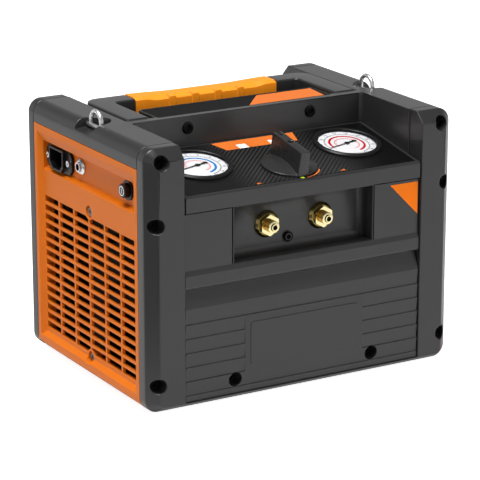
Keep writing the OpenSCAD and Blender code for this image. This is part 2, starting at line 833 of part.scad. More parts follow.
// Depth of the hollows along the grip, for a full depth d
function hollow_line(d) = concat(
  [[-grip_half - 1, 0]],
  [for (i = [6 : -1 : 0]) let (x = fade[0] + (fade[1] - fade[0]) * i / 6) [-x,
    d * (1 - ease(x, fade[0], fade[1]))]],
  [for (i = [0 : grip_ribs - 1]) let (c = (i - (grip_ribs - 1) / 2) * finger_p)
    each [[c - rib_w / 2 - 1, d], [c - rib_w / 2, 0], [c + rib_w / 2, 0], [c + rib_w / 2 + 1, d]]],
  [for (i = [0 : 6]) let (x = fade[0] + (fade[1] - fade[0]) * i / 6) [x,
    d * (1 - ease(x, fade[0], fade[1]))]],
  [[grip_half + 1, 0]]
);

module grip_outline() {
  y0 = handle_rear_y - bar_d;
  c = 4;
  polygon([
    [y0, arm_low_z + c], [y0, arm_top_z + 1], [handle_rear_y - 1, arm_top_z + 1], [handle_rear_y, arm_top_z],
    [handle_rear_y, arm_low_z + c], [handle_rear_y - c, arm_low_z], [y0 + c, arm_low_z]
  ]);
}

module grip_side() {
  z = arm_top_z + 0.5;
  top = [for (i = [-10 : 10]) let (x = grip_half * i / 10) [x,
    z - saddle * (1 - ease(abs(x), grip_half / 3, grip_half))]];
  polygon(concat([[-grip_half, arm_low_z - 1]], top, [[grip_half, arm_low_z - 1]]));
}

module handle_grip() color(grip_c) {
  y0 = handle_rear_y - bar_d;
  slope = 20;
  difference() {
    intersection() {
      along_x(-grip_half, grip_half) grip_outline();
      along_y(y0 - 1, handle_rear_y + 1) grip_side();
    }
    grip_core();
    translate([0, y0, arm_top_z - saddle]) rotate([slope - 90, 0, 0]) linear_extrude(3 * bar_d, center = true)
      polygon(concat(hollow_line(hollow_deep), [[grip_half + 1, -bar_d], [-grip_half - 1, -bar_d]]));
    translate([0, y0, arm_low_z - 1]) linear_extrude(handle_h + 4)
      polygon(concat(hollow_line(front_deep), [[grip_half + 1, -bar_d], [-grip_half - 1, -bar_d]]));
  }
}

// Strap rings: bent wire on an axle along Y
module strap_ring() {
  translate([ring_x, ring_y, 0]) {
    translate([0, 0, axle_z]) rod_y(-ring_boss_y + 1.5, ring_boss_y - 1.5, ring_wire);
    for (s = [-1, 1]) translate([0, s * ring_mid_r, axle_z])
      cylinder(h = ring_top_z - ring_w / 2 - axle_z, d = ring_wire);
    translate([0, 0, ring_top_z - ring_w / 2]) rotate([0, -90, 0]) rotate([0, 0, -90])
      rotate_extrude(angle = 180) translate([ring_mid_r, 0]) circle(d = ring_wire);
  }
}

module left_strap_ring() color(steel_c) mirror([1, 0, 0]) strap_ring();
module right_strap_ring() color(steel_c) strap_ring();

// Gauges, built on the tray: case, bezel, dial, pointer and lens
dial_r = dial_d / 2;
dial_z = 0.2;
dial_t = 0.8;
pointer_z = 0.7;
pointer_t = 0.4;
zero_turn = 105;
lens_z = 1.6;
lens_t = 0.8;
spindle_d = 1.6;
case_h = 14;
hub_h = 16;
hub_d = 38;
tail_h = 10;
tail_d = 12;

module gauge_case() {
  r = dial_r + 1.5;
  translate([0, 0, -case_h]) difference() {
    cylinder(h = case_h, r = r);
    translate([0, 0, 2]) cylinder(h = case_h, r = dial_r - 1.5);
    translate([0, 0, case_h - dial_t + dial_z]) cylinder(h = 3, r = dial_r + 2 * run);
  }
  translate([0, 0, -case_h - hub_h]) cylinder(h = hub_h, d = hub_d);
  translate([0, 0, -case_h - hub_h - tail_h]) cylinder(h = tail_h, d = tail_d, $fn = 6);
}

module gauge_bezel()
  rotate_extrude() polygon([
    [dial_r + gap, 0], [gauge_d / 2, 0], [gauge_d / 2, bezel_h - 1.2], [gauge_d / 2 - 1.2, bezel_h],
    [dial_r + 0.3, bezel_h], [dial_r - 0.6, lens_z + lens_t + 0.1], [dial_r + 1 + run, lens_z + lens_t + 0.1],
    [dial_r + 1 + run, lens_z], [dial_r + gap, lens_z - 0.3]
  ]);

module gauge_dial() translate([0, 0, dial_z - dial_t]) difference() {
  cylinder(h = dial_t, r = dial_r);
  translate([0, 0, -1]) cylinder(h = 3, d = spindle_d + 2 * run);
}

module gauge_pointer() {
  needle_l = dial_r - 6;
  tail_l = 11.5;
  tail_w = 3.2;
  rotate([0, 0, zero_turn]) translate([0, 0, pointer_z]) linear_extrude(pointer_t) {
    polygon([[-tail_w / 2, -tail_l], [tail_w / 2, -tail_l + 1], [0.6, -2], [0.3, needle_l],
      [-0.3, needle_l], [-0.6, -2]]);
    circle(d = 5);
  }
  translate([0, 0, -6]) cylinder(h = 6 + pointer_z + pointer_t / 2, d = spindle_d);
}

module gauge_lens() translate([0, 0, lens_z]) cylinder(h = lens_t, r = dial_r + 1);

module low_gauge_case() color(black_c) on_tray(-gauge_x, gauge_v) gauge_case();
module high_gauge_case() color(black_c) on_tray(gauge_x, gauge_v) gauge_case();
module low_gauge_bezel() color(shell_c) on_tray(-gauge_x, gauge_v) gauge_bezel();
module high_gauge_bezel() color(shell_c) on_tray(gauge_x, gauge_v) gauge_bezel();
module low_gauge_dial() color("white") on_tray(-gauge_x, gauge_v) gauge_dial();
module high_gauge_dial() color("white") on_tray(gauge_x, gauge_v) gauge_dial();
module low_gauge_pointer() color(black_c) on_tray(-gauge_x, gauge_v) gauge_pointer();
module high_gauge_pointer() color(black_c) on_tray(gauge_x, gauge_v) gauge_pointer();
module low_gauge_lens() color([0.9, 0.95, 1, 0.3]) on_tray(-gauge_x, gauge_v) gauge_lens();
module high_gauge_lens() color([0.9, 0.95, 1, 0.3]) on_tray(gauge_x, gauge_v) gauge_lens();

// Selector knob with a finger blade, its stem and the valve under the tray
knob_low = 0.7;
valve_h = 9;
stem_up = 14;
blade_draft = 1.2;
rim_h = 1.8;
cone_d = 16;

module blade_section() polygon([
  [-blade_w / 2 - blade_draft, knob_low], [blade_w / 2 + blade_draft, knob_low],
  [blade_w / 2, knob_h], [-blade_w / 2, knob_h]
]);

module selector_knob() color(shell_c) on_tray(0, knob_v) difference() {
  union() {
    translate([0, 0, knob_low]) cylinder(h = rim_h, d = knob_d);
    translate([0, 0, knob_low + rim_h]) cylinder(h = knob_skirt_h - rim_h, d1 = knob_d, d2 = cone_d);
    intersection() {
      along_y(-knob_d, knob_d) blade_section();
      cylinder(h = knob_h, d = knob_d);
    }
  }
  translate([0, 0, -1]) cylinder(h = stem_up + 1 + gap, d = stem_d + 2 * run);
  translate([-1.3, knob_d / 2 - 9, knob_h - 1.6]) cube([2.6, 12, 4]);
  translate([0, 1.5, knob_h - 0.8]) cylinder(h = 2, d = blade_w * 0.6);
}

module selector_stem() color(steel_c) on_tray(0, knob_v)
  translate([0, 0, -wall - 1.2 - valve_h + 1]) cylinder(h = stem_up + wall + 0.2 + valve_h, d = stem_d);

module selector_valve() color(brass_c) on_tray(0, knob_v) translate([0, 0, -wall - 1.2 - valve_h])
  difference() {
  cylinder(h = valve_h, d = 36);
  translate([0, 0, 0.7]) cylinder(h = valve_h, d = stem_d + 2 * run);
}

// Manifold and flare fittings
shank_d = flare_d - 0.6;
shank_l = 15;
hex_l = 4;
washer_t = 3;
collar_d = flare_hex + 7.5;
collar_c = 2.4;

module manifold_block() color(alu_c) {
  difference() {
    box([-manifold_w / 2, manifold_y, manifold_z],
      [manifold_w / 2, manifold_y + manifold_d, manifold_z + manifold_h]);
    for (s = [-1, 1]) translate([s * flare_x, 0, flare_z])
      rod_y(manifold_y - 1, manifold_y + shank_l + gap, shank_d + 2 * run);
    translate([pocket_screw_x, 0, pocket_screw_z])
      rod_y(manifold_y - 1, manifold_y + 9, pocket_screw_d + 2 * run);
  }
}

module flare_fitting(s) {
  tip = front_y + 6.9;
  hex_y = front_y + pocket_d - washer_t;
  nose = 2.6;
  thread_c = 0.6;
  bore = 4.8;
  translate([s * flare_x, 0, flare_z]) difference() {
    union() {
      rotate([-90, 0, 0]) translate([0, 0, hex_y - hex_l]) rotate(30)
        cylinder(h = hex_l, d = flare_hex / cos(30), $fn = 6);
      rod_y(tip + nose + thread_c, hex_y, flare_d);
      rotate([-90, 0, 0]) translate([0, 0, tip + nose])
        cylinder(h = thread_c, d1 = flare_d - 2 * thread_c, d2 = flare_d);
      rotate([-90, 0, 0]) translate([0, 0, tip]) cylinder(h = nose, d1 = flare_d - 4.2, d2 = flare_d - 2.2);
      rod_y(hex_y, manifold_y + shank_l, shank_d);
    }
    rod_y(tip - 1, manifold_y + shank_l + 1, bore);
  }
}

module inlet_fitting() color(brass_c) flare_fitting(-1);
module outlet_fitting() color(brass_c) flare_fitting(1);
module fitting_washers() color(brass_c)
  for (s = [-1, 1]) translate([s * flare_x, 0, flare_z]) difference() {
    rotate([-90, 0, 0]) translate([0, 0, front_y + pocket_d - washer_t]) {
      cylinder(h = collar_c, d1 = collar_d - 2 * collar_c, d2 = collar_d);
      translate([0, 0, collar_c]) cylinder(h = washer_t - collar_c, d = collar_d);
    }
    rod_y(front_y, 0, shank_d + 2 * run);
  }

// Mains inlet on the connection strip
flange_t = 3;
shroud_up = 3.5;
inlet_back = 18;
pin_l = 18;
pin_tail = 3;
inlet_head_d = 5.6;
inlet_head_h = 1.8;

module inlet_body_outline(w, h) {
  c = 5;
  polygon([[-w / 2, -h / 2 + c], [-w / 2 + c, -h / 2], [w / 2 - c, -h / 2], [w / 2, -h / 2 + c],
    [w / 2, h / 2], [-w / 2, h / 2]]);
}

module power_inlet() color(black_c) translate([-strip_floor_x, inlet_y, conn_z]) difference() {
  union() {
    along_x(-flange_t, 0) intersection() {
      square([inlet_screws + 10, inlet_h + 1], center = true);
      rotate(45) square((inlet_screws + 22) / sqrt(2), center = true);
    }
    along_x(-flange_t - shroud_up, 0) inlet_body_outline(inlet_w, inlet_h);
    along_x(0, inlet_back) square([inlet_hole_w, inlet_hole_h], center = true);
  }
  along_x(-flange_t - shroud_up - 1, inlet_back - 4) inlet_body_outline(inlet_w - 4, inlet_h - 4);
  for (s = [-1, 1]) translate([0, s * inlet_screws / 2, 0]) rod_x(-panel_t, 1, 3 + 2 * run);
  for (p = [[-7, -2.5], [0, 2.5], [7, -2.5]]) translate([0, p[0], p[1]])
    box([0, -1 - run, -2.5 - run], [inlet_back + 1, 1 + run, 2.5 + run]);
}

module power_inlet_pins() color(steel_c) translate([-strip_floor_x, inlet_y, conn_z])
  for (p = [[-7, -2.5], [0, 2.5], [7, -2.5]]) translate([0, p[0], p[1]])
    box([inlet_back + pin_tail - pin_l, -1, -2.5], [inlet_back + pin_tail, 1, 2.5]);

module power_inlet_screws() color(steel_c)
  for (s = [-1, 1]) translate([-strip_floor_x - flange_t, inlet_y + s * inlet_screws / 2, conn_z])
    rotate([0, 0, -90])
    screw_y(flange_t + wall + 3, 3, inlet_head_d, inlet_head_h);

// Float switch socket
jack_nut_t = 2.6;
jack_up = 4.2;

module sensor_jack() color(steel_c) translate([-strip_floor_x, jack_y, round_z]) difference() {
  union() {
    rod_x(-jack_up, wall + 1, bush_d);
    translate([wall, -7, -7]) cube([18, 14, 14]);
  }
  rod_x(-jack_up - 1, wall + 14, jack_bore_d);
}

module sensor_jack_nut() color(steel_c) translate([-strip_floor_x, jack_y, round_z]) difference() {
  union() {
    rod_x(-1, 0, 15.6);
    translate([-1, 0, 0]) rotate([0, -90, 0]) cylinder(h = jack_nut_t - 1, d1 = 15.6, d2 = 11.5);
  }
  rod_x(-jack_nut_t - 1, 1, bush_d + 2 * run);
}

// Power button and its housing
cap_up = 7.4;
bezel_t = 2;
cap_in = 13;

module power_button() color(black_c) translate([-strip_floor_x, button_y, round_z]) {
  rod_x(-cap_up + 0.8, cap_in, button_d);
  translate([-cap_up + 0.8, 0, 0]) rotate([0, -90, 0]) cylinder(h = 0.8, d1 = button_d, d2 = button_d - 1.6);
}

module power_button_housing() color(black_c) translate([-strip_floor_x, button_y, round_z]) difference() {
  union() {
    rod_x(-bezel_t, 0, bezel_d);
    rod_x(-eps, cap_in + button_travel + 6, barrel_d);
  }
  rod_x(-bezel_t - 1, cap_in + button_travel + 0.3, button_d + 2 * run);
}

// Fasteners
module end_screws() {
  column_places() translate([0, seat_y, 0])
    screw_y(-inner_y + screw_bite - seat_y, screw_d, screw_head_d, screw_head_h);
  for (s = [-1, 1]) translate([s * low_screw_x, seat_y, low_screw_z])
    screw_y(-inner_y + screw_bite - seat_y, screw_d, screw_head_d, screw_head_h);
}

module front_screws() color(black_c) {
  end_screws();
  translate([pocket_screw_x, front_y + pocket_d, pocket_screw_z])
    screw_y(wall + 7, pocket_screw_d, pocket_head_d, 2.4);
}

module rear_screws() color(black_c) mirror([0, 1, 0]) end_screws();

module side_screws() color(steel_c)
  for (s = [-1, 1], z = side_screw_z) translate([s * side_seat_x, 0, z]) rotate([0, 0, s * 90])
    screw_y(side_seat_x - base_x + sheet + 2, side_screw_d, side_head_d, side_head_h);

module handle_screws() color(black_c)
  for (s = [-1, 1]) translate([s * handle_screw_x, back_wall_y + 1, handle_screw_z])
    screw_y(wall + handle_bite, screw_d, screw_head_d, handle_head_h);

// Compressor: crankcase on rubber mounts with a cylinder to the front and one to the rear
mount_h = 6;
module on_shaft() translate([0, shaft_y, shaft_z]) children();

module crankcase() color(alu_c) {
  foot_z = deck_z + mount_h;
  difference() {
    union() {
      on_shaft() box([crank_x, -crank_half, -crank_half_z], [motor_x, crank_half, crank_half_z]);
      on_shaft() translate([(crank_x + motor_x) / 2, 0, 0]) {
        rod_y(-head_y, head_y, cyl_d);
        for (y = [crank_half + 4 : cyl_fin_p : head_y - 2], s = [-1, 1])
          translate([0, s * y, 0]) rod_y(-fin_t, fin_t, cyl_fin_d);
      }
      for (s = [-1, 1]) translate([0, shaft_y + s * foot_gap, 0])
        box([crank_x, -foot_w / 2, foot_z], [motor_x, foot_w / 2, shaft_z]);
    }
    on_shaft() rod_x(crank_x + 8, motor_x + 1, shaft_d + 1);
    on_shaft() rod_x(crank_bearing_x, crank_bearing_x + bearing_l + 2 * run, bearing_od);
  }
}

module cylinder_head(s) on_shaft() translate([(crank_x + motor_x) / 2, 0, 0]) {
  y0 = s > 0 ? head_y : -head_y - head_t;
  box([-head_half, y0, -head_half], [head_half, y0 + head_t, head_half]);
}

module front_cylinder_head() color(alu_c) cylinder_head(-1);
module rear_cylinder_head() color(alu_c) cylinder_head(1);

module rubber_mounts() color(black_c)
  for (x = [crank_x + mount_d, motor_x - mount_d], s = [-1, 1])
    translate([x, shaft_y + s * foot_gap, deck_z]) cylinder(h = mount_h, d = mount_d);

rotor_d = 48;
stator_in = rotor_d + 2;
motor_front = 6;
motor_rear = 10;
motor_wall = 4;
winding = 8;
rotor_in = motor_front + winding + 2;
module motor_case() color(black_c) on_shaft() difference() {
  union() {
    rod_x(motor_x, motor_x + motor_l, motor_d);
    for (i = [0 : 23]) rotate([i * 15, 0, 0])
      box([motor_x + 8, -1.2, motor_d / 2 - 1], [motor_x + motor_l - 8, 1.2, motor_d / 2 + 4]);
  }
  rod_x(motor_x + motor_front, motor_x + motor_l - motor_rear, motor_d - 2 * motor_wall);
  rod_x(motor_x - 1, motor_x + motor_l + 1, shaft_d + 1);
  rod_x(motor_x + motor_l - motor_rear - 1, motor_x + motor_l - motor_rear + bearing_l, bearing_od);
}

module motor_stator() color(copper_c) on_shaft() difference() {
  rod_x(motor_x + motor_front + winding, motor_x + motor_l - motor_rear - winding, motor_d - 2 * motor_wall);
  rod_x(motor_x, motor_x + motor_l, stator_in);
}

module motor_rotor() color(steel_c) on_shaft() difference() {
  rod_x(motor_x + rotor_in, motor_x + motor_l - rotor_in - motor_rear + motor_front, rotor_d);
  rod_x(motor_x, motor_x + motor_l, shaft_d + 2 * run);
}

module motor_shaft() color(steel_c) on_shaft() rod_x(crank_x + 12, fan_x + fan_l + 2, shaft_d);

module shaft_bearings() color(steel_c) on_shaft()
  for (x = [crank_bearing_x + run, motor_x + motor_l - motor_rear]) difference() {
    rod_x(x, x + bearing_l, bearing_od - 2 * run);
    rod_x(x - 1, x + bearing_l + 1, shaft_d + 2 * run);
  }

// Fan, shroud and condenser on the exhaust side
module fan() color(black_c) on_shaft() {
  difference() {
    union() {
      rod_x(fan_x, fan_x + fan_l, 40);
      for (i = [0 : fan_blades - 1]) rotate([i * 360 / fan_blades, 0, 0])
        intersection() {
          translate([fan_x + fan_l / 2, 0, fan_d / 4 + 8]) rotate([0, 0, 35])
            cube([2.4, 34, fan_d / 2 - 16], center = true);
          rod_x(fan_x + 1, fan_x + fan_l - 1, fan_d);
        }
    }
    rod_x(fan_x - 1, fan_x + fan_l + 1, shaft_d + 2 * run);
  }
}

module fan_shroud() color(black_c) {
  difference() {
    union() {
      on_shaft() rod_x(shroud_x, cond_x, fan_d + 12);
      box([cond_x - 3, cond_y, cond_low_z], [cond_x, cond_y + cond_w, cond_low_z + cond_h]);
    }
    on_shaft() rod_x(shroud_x - 1, cond_x + 1, fan_d + 6);
  }
}

module condenser() color(alu_c) {
  fin_p = (cond_w - 6) / (fins - 1);
  tubes = 6;
  for (i = [0 : fins - 1]) {
    y = cond_y + 3 + i * fin_p;
    box([cond_x, y - 0.5, cond_low_z], [cond_x + cond_d, y + 0.5, cond_low_z + cond_h]);
  }
  for (y = [cond_y, cond_y + cond_w - 2])
    box([cond_x, y, deck_z], [cond_x + cond_d, y + 2, cond_low_z + cond_h]);
  for (j = [0 : tubes - 1]) translate([cond_x + cond_d / 2, 0, cond_low_z + (j + 0.5) * cond_h / tubes])
    rod_y(cond_y, cond_y + cond_w, 9);
}

// Control board on spacers from the left tab
board_w = 120;
board_h = 90;
board_low = 58;
board_off = 18;
board_t = 1.6;
spacer_d = 7;
relay = [18, 40, 40];
can_d = 16;
can_h = 20;

module control_board() color("#1E5B3A") translate([-base_x + sheet, 0, bottom_z + board_low]) {
  box([board_off, -board_w / 2, 0], [board_off + board_t, board_w / 2, board_h]);
  for (z = [board_h / 4, board_h * 3 / 4]) translate([0, 0, z]) rod_x(0, board_off, spacer_d);
  translate([board_off + board_t, 0, 0]) {
    translate([0, -board_w / 2 + can_d / 2, spacer_d]) cube(relay);
    for (y = [can_d, 2.2 * can_d, 3.4 * can_d]) translate([0, y - can_d / 2, board_h - can_d])
      rod_x(0, can_h, can_d);
  }
}

// Copper pipes
module suction_pipe() color(copper_c) {
  x = (crank_x + motor_x) / 2;
  y = shaft_y - head_y - head_t / 2;
  translate([x, y, shaft_z + head_half]) cylinder(h = flare_z - shaft_z - head_half, d = pipe_d);
  translate([x, y, flare_z]) sphere(d = pipe_d);
  translate([x, 0, flare_z]) rod_y(manifold_y + manifold_d, y, pipe_d);
}

module discharge_pipe() color(copper_c) {
  x0 = (crank_x + motor_x) / 2;
  x1 = cond_x + cond_d / 2;
  y = shaft_y + head_y + head_t / 2;
  z0 = shaft_z + head_half;
  z1 = well_z - pipe_room / 2;
  r = 10;
  translate([0, y, 0]) {
    translate([x0, 0, z0]) cylinder(h = z1 - r - z0, d = pipe_d);
    translate([x0 + r, 0, z1 - r]) rotate([90, 0, 0]) rotate([0, 0, 90]) rotate_extrude(angle = 90)
      translate([r, 0]) circle(d = pipe_d);
    translate([0, 0, z1]) rod_x(x0 + r, x1 - r, pipe_d);
    translate([x1 - r, 0, z1 - r]) rotate([90, 0, 0]) rotate_extrude(angle = 90) translate([r, 0])
      circle(d = pipe_d);
    translate([x1, 0, cond_low_z + cond_h]) cylinder(h = z1 - r - cond_low_z - cond_h, d = pipe_d);
  }
}

front_frame();
rear_frame();
front_panel();
rear_panel();
console();
top_cover();
left_side_panel();
right_side_panel();
base_plate();
feet();
handle_frame();
handle_grip();
left_strap_ring();
right_strap_ring();
control_overlay();
low_gauge_case();
high_gauge_case();
low_gauge_bezel();
high_gauge_bezel();
low_gauge_dial();
high_gauge_dial();
low_gauge_pointer();
high_gauge_pointer();
low_gauge_lens();
high_gauge_lens();
selector_knob();
selector_stem();
selector_valve();
manifold_block();
inlet_fitting();
outlet_fitting();
fitting_washers();
power_inlet();
power_inlet_pins();
power_inlet_screws();
sensor_jack();
sensor_jack_nut();
power_button();
power_button_housing();
front_screws();
rear_screws();
side_screws();
handle_screws();
crankcase();
front_cylinder_head();
rear_cylinder_head();
rubber_mounts();
motor_case();
motor_stator();
motor_rotor();
motor_shaft();
shaft_bearings();
fan();
fan_shroud();
condenser();
control_board();
suction_pipe();
discharge_pipe();
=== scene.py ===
# Refrigerant recovery machine: finishes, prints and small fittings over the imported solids
import json
import math

import bmesh
import bpy
from mathutils import Matrix, Vector


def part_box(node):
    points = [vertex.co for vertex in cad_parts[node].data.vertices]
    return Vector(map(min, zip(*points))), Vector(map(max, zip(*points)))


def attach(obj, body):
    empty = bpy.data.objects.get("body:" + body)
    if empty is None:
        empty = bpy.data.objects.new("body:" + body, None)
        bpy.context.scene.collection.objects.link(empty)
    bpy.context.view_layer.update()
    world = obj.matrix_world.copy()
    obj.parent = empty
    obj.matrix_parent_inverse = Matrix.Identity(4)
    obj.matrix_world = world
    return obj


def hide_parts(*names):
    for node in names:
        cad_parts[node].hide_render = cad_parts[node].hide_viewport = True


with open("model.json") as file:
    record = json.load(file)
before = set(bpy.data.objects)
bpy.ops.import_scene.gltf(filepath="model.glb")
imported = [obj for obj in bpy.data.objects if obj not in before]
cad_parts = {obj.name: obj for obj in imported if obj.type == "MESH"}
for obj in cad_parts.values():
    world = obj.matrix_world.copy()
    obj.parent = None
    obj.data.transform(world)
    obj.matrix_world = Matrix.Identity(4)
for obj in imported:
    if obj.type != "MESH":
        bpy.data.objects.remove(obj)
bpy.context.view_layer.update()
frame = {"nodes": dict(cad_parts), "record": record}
nodes = frame["nodes"]
mm = 0.001
print("frame loaded:", len(nodes), "solids")

# Camera, worked out from the case's edges in the photograph
viewFinder = {
    "place": (-1.07485, -1.83998, 0.74130),
    "forward": (0.484624, 0.827229, -0.284311),
    "up": (0.143739, 0.245299, 0.958732),
    "lens": 181.475,
    "sensor": 36.0,
    "near": 0.05,
    "far": 30,
}


def placeCamera(s):
    data = bpy.data.cameras.new("camera")
    data.lens = s["lens"]
    data.sensor_width = s["sensor"]
    data.clip_start = s["near"]
    data.clip_end = s["far"]
    forward = Vector(s["forward"]).normalized()
    right = forward.cross(Vector(s["up"])).normalized()
    up = right.cross(forward)
    turn = Matrix((right, up, -forward)).transposed().to_4x4()
    camera = bpy.data.objects.new("camera", data)
    camera.matrix_world = Matrix.Translation(s["place"]) @ turn
    bpy.context.scene.collection.objects.link(camera)
    bpy.context.scene.camera = camera


placeCamera(viewFinder)
print("camera placed")


# Materials
def hexColour(code):
    channels = [int(code[i:i + 2], 16) / 255 for i in (1, 3, 5)]
    linear = [c / 12.92 if c <= 0.04045 else ((c + 0.055) / 1.055) ** 2.4 for c in channels]
    return (*linear, 1.0)


def addNode(tree, kind, settings=None, links=None):
    node = tree.nodes.new(kind)
    for key, value in (settings or {}).items():
        if isinstance(key, str) and hasattr(node, key):
            setattr(node, key, value)
        else:
            node.inputs[key].default_value = value
    for key, source in (links or {}).items():
        tree.links.new(source, node.inputs[key])
    return node


def startMaterial(name):
    material = bpy.data.materials.new(name)
    material.use_nodes = True
    tree = material.node_tree
    shader = tree.nodes["Principled BSDF"]
    place = tree.nodes.new("ShaderNodeTexCoord").outputs["Object"]
    return material, tree, shader, place


def perMm(size):
    return 1 / (size * mm)


def wavePitch(size):
    return math.tau / 20 / (size * mm)  # wave bands repeat every tau / 20 at scale 1


# Slow drift between two close shades, in patches of so many mm
def driftColour(tree, shader, place, colour, shade, size, detail):
    drift = addNode(tree, "ShaderNodeTexNoise", {"Scale": perMm(size), "Detail": detail}, {"Vector": place})
    tint = addNode(tree, "ShaderNodeMix", {"data_type": "RGBA", 6: colour, 7: shade},
                   {0: drift.outputs["Fac"]})
    tree.links.new(tint.outputs[2], shader.inputs["Base Color"])


# Moulded ABS: the spark-eroded tool leaves a grain that breaks the gloss into a soft sheen,
# drawn coarser than the real one to show
def mouldedAbs(name, colour, shade, grain=1.1, roughness=0.3, ior=1.5):
    material, tree, shader, place = startMaterial(name)
    driftColour(tree, shader, place, hexColour(colour), hexColour(shade), size=55, detail=3.0)
    pits = addNode(tree, "ShaderNodeTexNoise", {"Scale": perMm(grain), "Detail": 4.0, "Roughness": 0.6},
                   {"Vector": place})
    gloss = addNode(tree, "ShaderNodeMapRange", {3: roughness - 0.06, 4: roughness + 0.1},
                    {0: pits.outputs["Fac"]})
    tree.links.new(gloss.outputs[0], shader.inputs["Roughness"])
    bump = addNode(tree, "ShaderNodeBump", {"Strength": 0.2, "Distance": 0.04 * mm},
                   {"Height": pits.outputs["Fac"]})
    tree.links.new(bump.outputs[0], shader.inputs["Normal"])
    shader.inputs["IOR"].default_value = ior
    return material


# Overmoulded TPE: soft and dull, with a pebbled skin that is drawn coarser than the real one to show
def gripRubber(name, colour, shade):
    material, tree, shader, place = startMaterial(name)
    driftColour(tree, shader, place, hexColour(colour), hexColour(shade), size=40, detail=2.0)
    skin = addNode(tree, "ShaderNodeTexVoronoi", {"Scale": perMm(1.0)}, {"Vector": place})
    bump = addNode(tree, "ShaderNodeBump", {"Strength": 0.25, "Distance": 0.05 * mm},
                   {"Height": skin.outputs["Distance"]})
    tree.links.new(bump.outputs[0], shader.inputs["Normal"])
    shader.inputs["Roughness"].default_value = 0.55
    shader.inputs["IOR"].default_value = 1.5
    return material


# Turned or plated metal: faint tool lines across the turning axis, drawn coarser than real ones to show
def metalFinish(name, colour, roughness, axis, linePitch, lineDepth):
    material, tree, shader, place = startMaterial(name)
    shader.inputs["Metallic"].default_value = 1.0
    shader.inputs["Base Color"].default_value = hexColour(colour)
    lines = addNode(tree, "ShaderNodeTexWave", {"bands_direction": axis, "Scale": wavePitch(linePitch),
                                                "Distortion": 1.5, "Detail": 2.0}, {"Vector": place})
    smudge = addNode(tree, "ShaderNodeTexNoise", {"Scale": perMm(6), "Detail": 3.0}, {"Vector": place})
    gloss = addNode(tree, "ShaderNodeMapRange", {3: roughness * 0.7, 4: roughness * 1.4},
                    {0: smudge.outputs["Fac"]})
    tree.links.new(gloss.outputs[0], shader.inputs["Roughness"])
    bump = addNode(tree, "ShaderNodeBump", {"Strength": 0.2, "Distance": lineDepth * mm},
                   {"Height": lines.outputs["Fac"]})
    tree.links.new(bump.outputs[0], shader.inputs["Normal"])
    return material


# Glossy nylon of connectors: smoother tool, sharper reflections
def glossNylon(name, colour, roughness, ior=1.52):
    material, tree, shader, place = startMaterial(name)
    shader.inputs["Base Color"].default_value = hexColour(colour)
    haze = addNode(tree, "ShaderNodeTexNoise", {"Scale": perMm(3), "Detail": 3.0}, {"Vector": place})
    gloss = addNode(tree, "ShaderNodeMapRange", {3: roughness * 0.8, 4: roughness * 1.3},
                    {0: haze.outputs["Fac"]})
    tree.links.new(gloss.outputs[0], shader.inputs["Roughness"])
    shader.inputs["IOR"].default_value = ior
    return material


# Screen-printed ink: dense, satin, with a faint mottle
def printInk(name, colour, roughness=0.45, ior=1.45, thinning=0.93):
    material, tree, shader, place = startMaterial(name)
    dense = hexColour(colour)
    thin = (*(channel * thinning for channel in dense[:3]), 1.0)
    driftColour(tree, shader, place, dense, thin, size=1.5, detail=2.0)
    shader.inputs["Roughness"].default_value = roughness
    shader.inputs["IOR"].default_value = ior
    return material


# Polycarbonate overlay: black print with fine diagonal bars that fade out to both sides
def barredOverlay(name, s):
    material, tree, shader, place = startMaterial(name)
    turned = addNode(tree, "ShaderNodeMapping", {"Rotation": (0, 0, math.radians(s["turn"]))},
                     {"Vector": place})
    bars = addNode(tree, "ShaderNodeTexWave", {"bands_direction": "X", "Scale": wavePitch(s["barPitch"]),
                                               "Distortion": 0.0}, {"Vector": turned.outputs[0]})
    parts = addNode(tree, "ShaderNodeSeparateXYZ", {}, {0: place})
    away = addNode(tree, "ShaderNodeMath", {"operation": "ABSOLUTE"}, {0: parts.outputs["X"]})
    fade = addNode(tree, "ShaderNodeMapRange", {1: s["fadeFrom"] * mm, 2: s["fadeTo"] * mm, 3: 1.0, 4: 0.0},
                   {0: away.outputs[0]})
    amount = addNode(tree, "ShaderNodeMath", {"operation": "MULTIPLY"},
                     {0: bars.outputs["Fac"], 1: fade.outputs[0]})
    tint = addNode(tree, "ShaderNodeMix",
                   {"data_type": "RGBA", 6: hexColour(s["dark"]), 7: hexColour(s["light"])},
                   {0: amount.outputs[0]})
    tree.links.new(tint.outputs[2], shader.inputs["Base Color"])
    shader.inputs["Roughness"].default_value = 0.3
    shader.inputs["IOR"].default_value = 1.45
    return material


# Clear acrylic lens: only the reflection on its outer faces shows
def clearLens(name):
    material = bpy.data.materials.new(name)
    material.use_nodes = True
    tree = material.node_tree
    tree.nodes.remove(tree.nodes["Principled BSDF"])
    rim = addNode(tree, "ShaderNodeLayerWeight", {"Blend": 0.2})
    side = addNode(tree, "ShaderNodeNewGeometry")
    outer = addNode(tree, "ShaderNodeMath", {"operation": "SUBTRACT", 0: 1.0},
                    {1: side.outputs["Backfacing"]})
    gloss = addNode(tree, "ShaderNodeMath", {"operation": "MULTIPLY"},
                    {0: rim.outputs["Fresnel"], 1: outer.outputs[0]})
    through = addNode(tree, "ShaderNodeBsdfTransparent", {"Color": (1, 1, 1, 1)})
    mirror = addNode(tree, "ShaderNodeBsdfGlossy", {"Roughness": 0.05})
    blend = addNode(tree, "ShaderNodeMixShader", {},
                    {0: gloss.outputs[0], 1: through.outputs[0], 2: mirror.outputs[0]})
    tree.links.new(blend.outputs[0], tree.nodes["Material Output"].inputs["Surface"])
    return material


